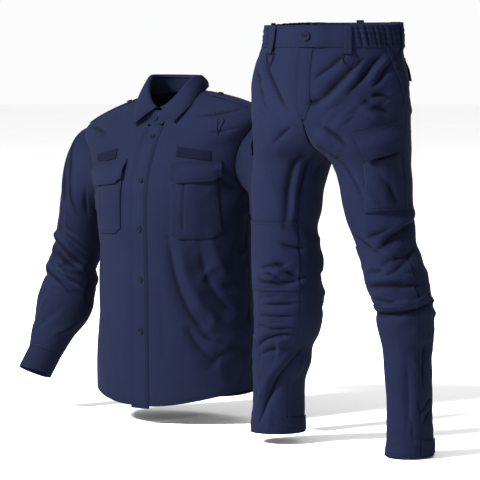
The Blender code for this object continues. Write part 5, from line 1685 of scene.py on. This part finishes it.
def stitch_tree():
    tree = bpy.data.node_groups.new("thread_stitches", "GeometryNodeTree")
    new = tree.interface.new_socket
    new("Geometry", in_out="INPUT", socket_type="NodeSocketGeometry")
    for name in STITCH:
        new(name, in_out="INPUT", socket_type="NodeSocketFloat")
    new("Geometry", in_out="OUTPUT", socket_type="NodeSocketGeometry")
    given = add(tree, "NodeGroupInput").outputs
    spots = add(
        tree, "GeometryNodeCurveToPoints",
        {"Curve": given["Geometry"], "Length": given["Pitch"]}, mode="LENGTH",
    ).outputs
    thread = add(
        tree, "GeometryNodeMeshCylinder",
        {"Vertices": 5, "Radius": given["Thread radius"], "Depth": given["Thread length"]},
    )
    placed = add(
        tree, "GeometryNodeInstanceOnPoints",
        {"Points": spots["Points"], "Instance": thread.outputs["Mesh"],
         "Rotation": spots["Rotation"]},
    )
    real = add(tree, "GeometryNodeRealizeInstances", {"Geometry": placed.outputs["Instances"]})
    finish = add(
        tree, "GeometryNodeSetMaterial",
        {"Geometry": real.outputs["Geometry"], "Material": MATERIALS["thread"]},
    )
    add(tree, "NodeGroupOutput", {"Geometry": finish.outputs["Geometry"]})
    return tree


def stitching(garment, lines, tree):
    curve = bpy.data.curves.new(garment + "_thread_lines", "CURVE")
    curve.dimensions = "3D"
    for line in lines:
        path = curve.splines.new("POLY")
        path.points.add(len(line) - 1)
        path.points.foreach_set("co", np.column_stack((line, np.ones(len(line)))).ravel())
    lines_object = put(garment + "_thread_lines", curve)
    made = lines_object.modifiers.new("stitches", "NODES")
    made.node_group = tree
    for item in tree.interface.items_tree:
        if item.name in STITCH:
            made[item.identifier] = STITCH[item.name]
    graph = bpy.context.evaluated_depsgraph_get()
    mesh = bpy.data.meshes.new_from_object(lines_object.evaluated_get(graph))
    bpy.data.objects.remove(lines_object)
    obj = put(garment + "_stitching", mesh)
    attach(obj, "root")
    print(garment, "stitch faces:", len(mesh.polygons))


tree = stitch_tree()
for garment, lines in SEWING.items():
    stitching(garment, lines, tree)

# %% [markdown]
# A shirt button is a turned disc with a rolled rim, a dish and four holes, sewn on with two
# strands. The rings are bent wire. Both are swept shapes, made straight from their profiles.

# %% Buttons and rings
def solid(node, verts, faces, finish, body="root"):
    mesh = bpy.data.meshes.new(node + "_made")
    mesh.from_pydata(np.asarray(verts).tolist(), [], faces)
    mesh.materials.append(MATERIALS[finish])
    mesh.shade_smooth()
    obj = put(node + "_made", mesh)
    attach(obj, body)
    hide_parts(node)


def swept(path, radius, sides, closed):
    """A round tube along a path, as points and faces."""
    count = len(path)
    before = np.roll(path, 1, axis=0) if closed else np.concatenate((path[:1], path[:-1]))
    after = np.roll(path, -1, axis=0) if closed else np.concatenate((path[1:], path[-1:]))
    along = unit(after - before)
    flat = unit(np.linalg.svd(path - path.mean(axis=0))[2][2] + 0 * along)
    side = unit(np.cross(along, flat))
    turn = np.linspace(0, 2 * math.pi, sides, endpoint=False)
    cosine, sine = np.cos(turn)[None, :, None], np.sin(turn)[None, :, None]
    ring = side[:, None] * cosine + flat[:, None] * sine
    verts = (path[:, None] + ring * radius).reshape(-1, 3)
    faces = []
    for row in range(count if closed else count - 1):
        here, next_row = row * sides, (row + 1) % count * sides
        for column in range(sides):
            beside = (column + 1) % sides
            faces.append((here + column, here + beside, next_row + beside, next_row + column))
    if not closed:
        faces.append(tuple(range(sides))[::-1])
        faces.append(tuple(range((count - 1) * sides, count * sides)))
    return verts, faces


# A button's radius and height at its rim, down into its dish and across its flat middle.
BUTTON_RADII = (
    1.0, 1.0, 0.985, 0.95, 0.88, 0.80, 0.74, 0.66, 0.56, 0.48, 0.40, 0.34, 0.28, 0.22, 0.16, 0.08,
)
BUTTON_UPS = (0.0, 0.55, 0.82, 0.96, 1.0, 0.93, 0.76, 0.66, 0.62) + (0.60,) * 7
BUTTON_POINTS = 40
HOLE_RING, HOLE = 0.27, 0.115       # both as shares of the button's half
STRAND_RADIUS = 0.0004
COLLAR_BUTTON = (-93.0, 0.52)                   # degrees round and share up
CUFF_BUTTON = (263.0, CUFF_LENGTH / 2)          # degrees round and metres down
WAIST_BUTTON = (-89.0, 0.505)                   # degrees round and height
WAIST_BUTTON_SIZE, WAIST_BUTTON_HEIGHT = 0.021, 0.0035


def button(node, centre, outward, size=BUTTON_SIZE, height=BUTTON_HEIGHT):
    """A disc whose height follows a rim, a dish and four small holes."""
    half, around = size / 2, BUTTON_POINTS
    hole_ring, hole = HOLE_RING * half, HOLE * half
    radii, ups = half * np.array(BUTTON_RADII), height * np.array(BUTTON_UPS)
    turn = np.linspace(0, 2 * math.pi, around, endpoint=False)
    x, y = radii[:, None] * np.cos(turn), radii[:, None] * np.sin(turn)
    up = np.repeat(ups[:, None], around, axis=1)
    for corner in range(4):
        at = math.pi / 4 + corner * math.pi / 2
        away = np.hypot(x - hole_ring * math.cos(at), y - hole_ring * math.sin(at))
        sunk = (1 - ease(away, 0.7 * hole, 1.5 * hole)) * (radii[:, None] < 0.5 * half)
        up = up - 0.45 * height * sunk
    local = [np.stack((x, y, up), axis=-1).reshape(-1, 3)]
    faces = []
    for row in range(len(radii) - 1):
        for column in range(around):
            a, b = row * around + column, row * around + (column + 1) % around
            faces.append((a, b, b + around, a + around))
    faces.append(tuple(range(around))[::-1])
    faces.append(tuple(range((len(radii) - 1) * around, len(radii) * around)))
    bow = np.linspace(-1, 1, 7)
    reach = hole_ring * math.cos(math.pi / 4)
    for offset in (-1, 1):
        strand = points(bow * reach, offset * reach, height * (0.62 + 0.12 * (1 - bow**2)))
        strand = strand + np.array((0, 0, 1e-6)) * bow[:, None] ** 2
        verts, more = swept(strand, STRAND_RADIUS, 6, False)
        start = sum(len(part) for part in local)
        faces += [tuple(start + i for i in face) for face in more]
        local.append(verts)
    side = unit(np.cross((0.0, 0.0, 1.0), outward))
    axes = np.stack((side, np.cross(outward, side), outward))
    solid(node, np.concatenate(local) @ axes + centre, faces, "button")


def normal_of(surface, *at):
    return unit(surface(*at, 0.01) - surface(*at, 0.0))


def facing(place, u, v, step_u, step_v):
    """The direction square to a surface, from two small steps on it."""
    du = place(u + step_u, v) - place(u - step_u, v)
    dv = place(u, v + step_v) - place(u, v - step_v)
    return unit(np.cross(du, dv))


def shirt_buttons():
    for number, z in enumerate(FRONT_BUTTONS, 1):
        centre = on_torso(BUTTON_X, z, ON_CLOTH + WALL + 3 * SEAM)
        button(f"front_button_{number}", centre, normal_of(on_torso, BUTTON_X, z))
    lap = COLLAR_WALL + 2 * SEAM

    def collar_front(angle, share):
        return shirt_world(stand_point(np.array(angle), np.array(share), np.array(2 * lap)))

    outward = facing(collar_front, *COLLAR_BUTTON, 1.0, 0.02)
    button("collar_button", collar_front(*COLLAR_BUTTON), outward)
    for word, side in SIDES.items():
        angle = -1.5 if side > 0 else 181.5
        centre = torso(angle, STRAP_LEVEL_BUTTON, ON_CLOTH + WALL + 3 * SEAM)
        outward = normal_of(torso, angle, STRAP_LEVEL_BUTTON)
        button(f"strap_button_{word}", centre, outward)

        def cuff_outside(turn, down):
            return shirt_world(cuff_point(side, np.array(turn), np.array(down), np.array(2 * lap)))

        outward = side * facing(cuff_outside, *CUFF_BUTTON, 1.0, 0.004)
        button(f"cuff_button_{word}", cuff_outside(*CUFF_BUTTON), outward)


def ring(word, angle):
    """A D-shaped ring that hangs from its bar against the cloth."""
    lift, z = RING_BAR
    bar = band(angle, z, lift)
    side = unit(band(angle + 3, z, lift) - band(angle - 3, z, lift))
    down = band(angle, z - RING_DROP, lift + 0.0005) - bar
    down = unit(down - (down @ side) * side)
    outline = [(a, 0.0) for a in np.linspace(-RING_HALF, RING_HALF, 9)]
    for step in range(41):
        turn = math.pi * step / 40
        wide = RING_HALF * (1.0 - 0.12 * math.sin(turn))
        fall = between(RING_SHOULDER, RING_DROP, math.sin(turn) ** 0.8)
        outline.append((wide * math.cos(turn), fall))
    path = np.array([bar + side * a + down * b for a, b in outline])
    verts, faces = swept(path, RING_WIRE, 12, True)
    solid(f"ring_{word}", verts, faces, "ring", body=f"ring_{word}")


shirt_buttons()
lap = 2 * WAISTBAND_WALL + 5 * SEAM
outward = facing(lambda u, v: band(u, v, lap), *WAIST_BUTTON, 1.0, 0.004)
button(
    "waist_button", band(*WAIST_BUTTON, lap), outward, WAIST_BUTTON_SIZE, WAIST_BUTTON_HEIGHT,
)
ring("right", -180 + FRONT_LOOP_ANGLE)
ring("left", -FRONT_LOOP_ANGLE)
print("buttons and rings made")

# %% [markdown]
# The set is seen from in front, a little above its middle, through a long lens, on a plain pale
# floor. The light is a big soft window at the viewer's upper left with a weak fill.

# %% Stage, lights and camera
FLOOR_GAP, FLOOR_REACH = 0.004, 40.0
LIGHTS = {      # place, target, size in metres and watts
    "window": ((-5.1, -3.7, 4.2), (0.1, -0.2, -0.2), 1.5, 3200),
    "fill": ((0.1, -5.0, 0.6), (0.1, -0.2, -0.3), 2.0, 60),
}
CAMERA_PLACE, CAMERA_TARGET = (0.155, -6.984, 0.176), (0.155, 0.0, -0.300)
SENSOR, LENS = 36.0, 210.0      # millimetres

floor_height = float(cad_box[0][2]) - FLOOR_GAP
floor_mesh = bpy.data.meshes.new("floor")
corners = [(x * FLOOR_REACH, y * FLOOR_REACH) for x, y in ((-1, -1), (1, -1), (1, 1), (-1, 1))]
floor_mesh.from_pydata([(x, y, floor_height) for x, y in corners], [], [(0, 1, 2, 3)])
floor = put("floor", floor_mesh)
paper, tree, shader = new_material("pale_paper", 0.9)
tree.links.new(blend(tree, noise(tree, 2.0), "F4F4F4", "FAFAFA"), shader.inputs["Base Color"])
floor_mesh.materials.append(paper)

world = bpy.data.worlds.new("pale_studio")
world.use_nodes = True
background = world.node_tree.nodes["Background"]
background.inputs["Color"].default_value = rgb("FCFCFD")
background.inputs["Strength"].default_value = 1.0
bpy.context.scene.world = world


def aimed(name, data, place, target):
    """A light or a camera at a place, turned to look at a target."""
    obj = put(name, data)
    obj.location = place
    toward = np.array(target, float) - np.array(obj.location)
    pitch = math.atan2(math.hypot(toward[0], toward[1]), -toward[2])
    obj.rotation_euler = (pitch, 0.0, math.atan2(toward[1], toward[0]) - math.pi / 2)
    return obj


for name, (place, target, size, power) in LIGHTS.items():
    light = bpy.data.lights.new(name, "AREA")
    light.shape = "SQUARE"
    light.size = size
    light.energy = power
    aimed(name, light, place, target)

lens = bpy.data.cameras.new("camera")
lens.sensor_width = SENSOR
lens.lens = LENS
bpy.context.scene.camera = aimed("camera", lens, CAMERA_PLACE, CAMERA_TARGET)
bpy.context.scene.view_settings.view_transform = "Standard"
print("floor at", round(floor_height, 3))
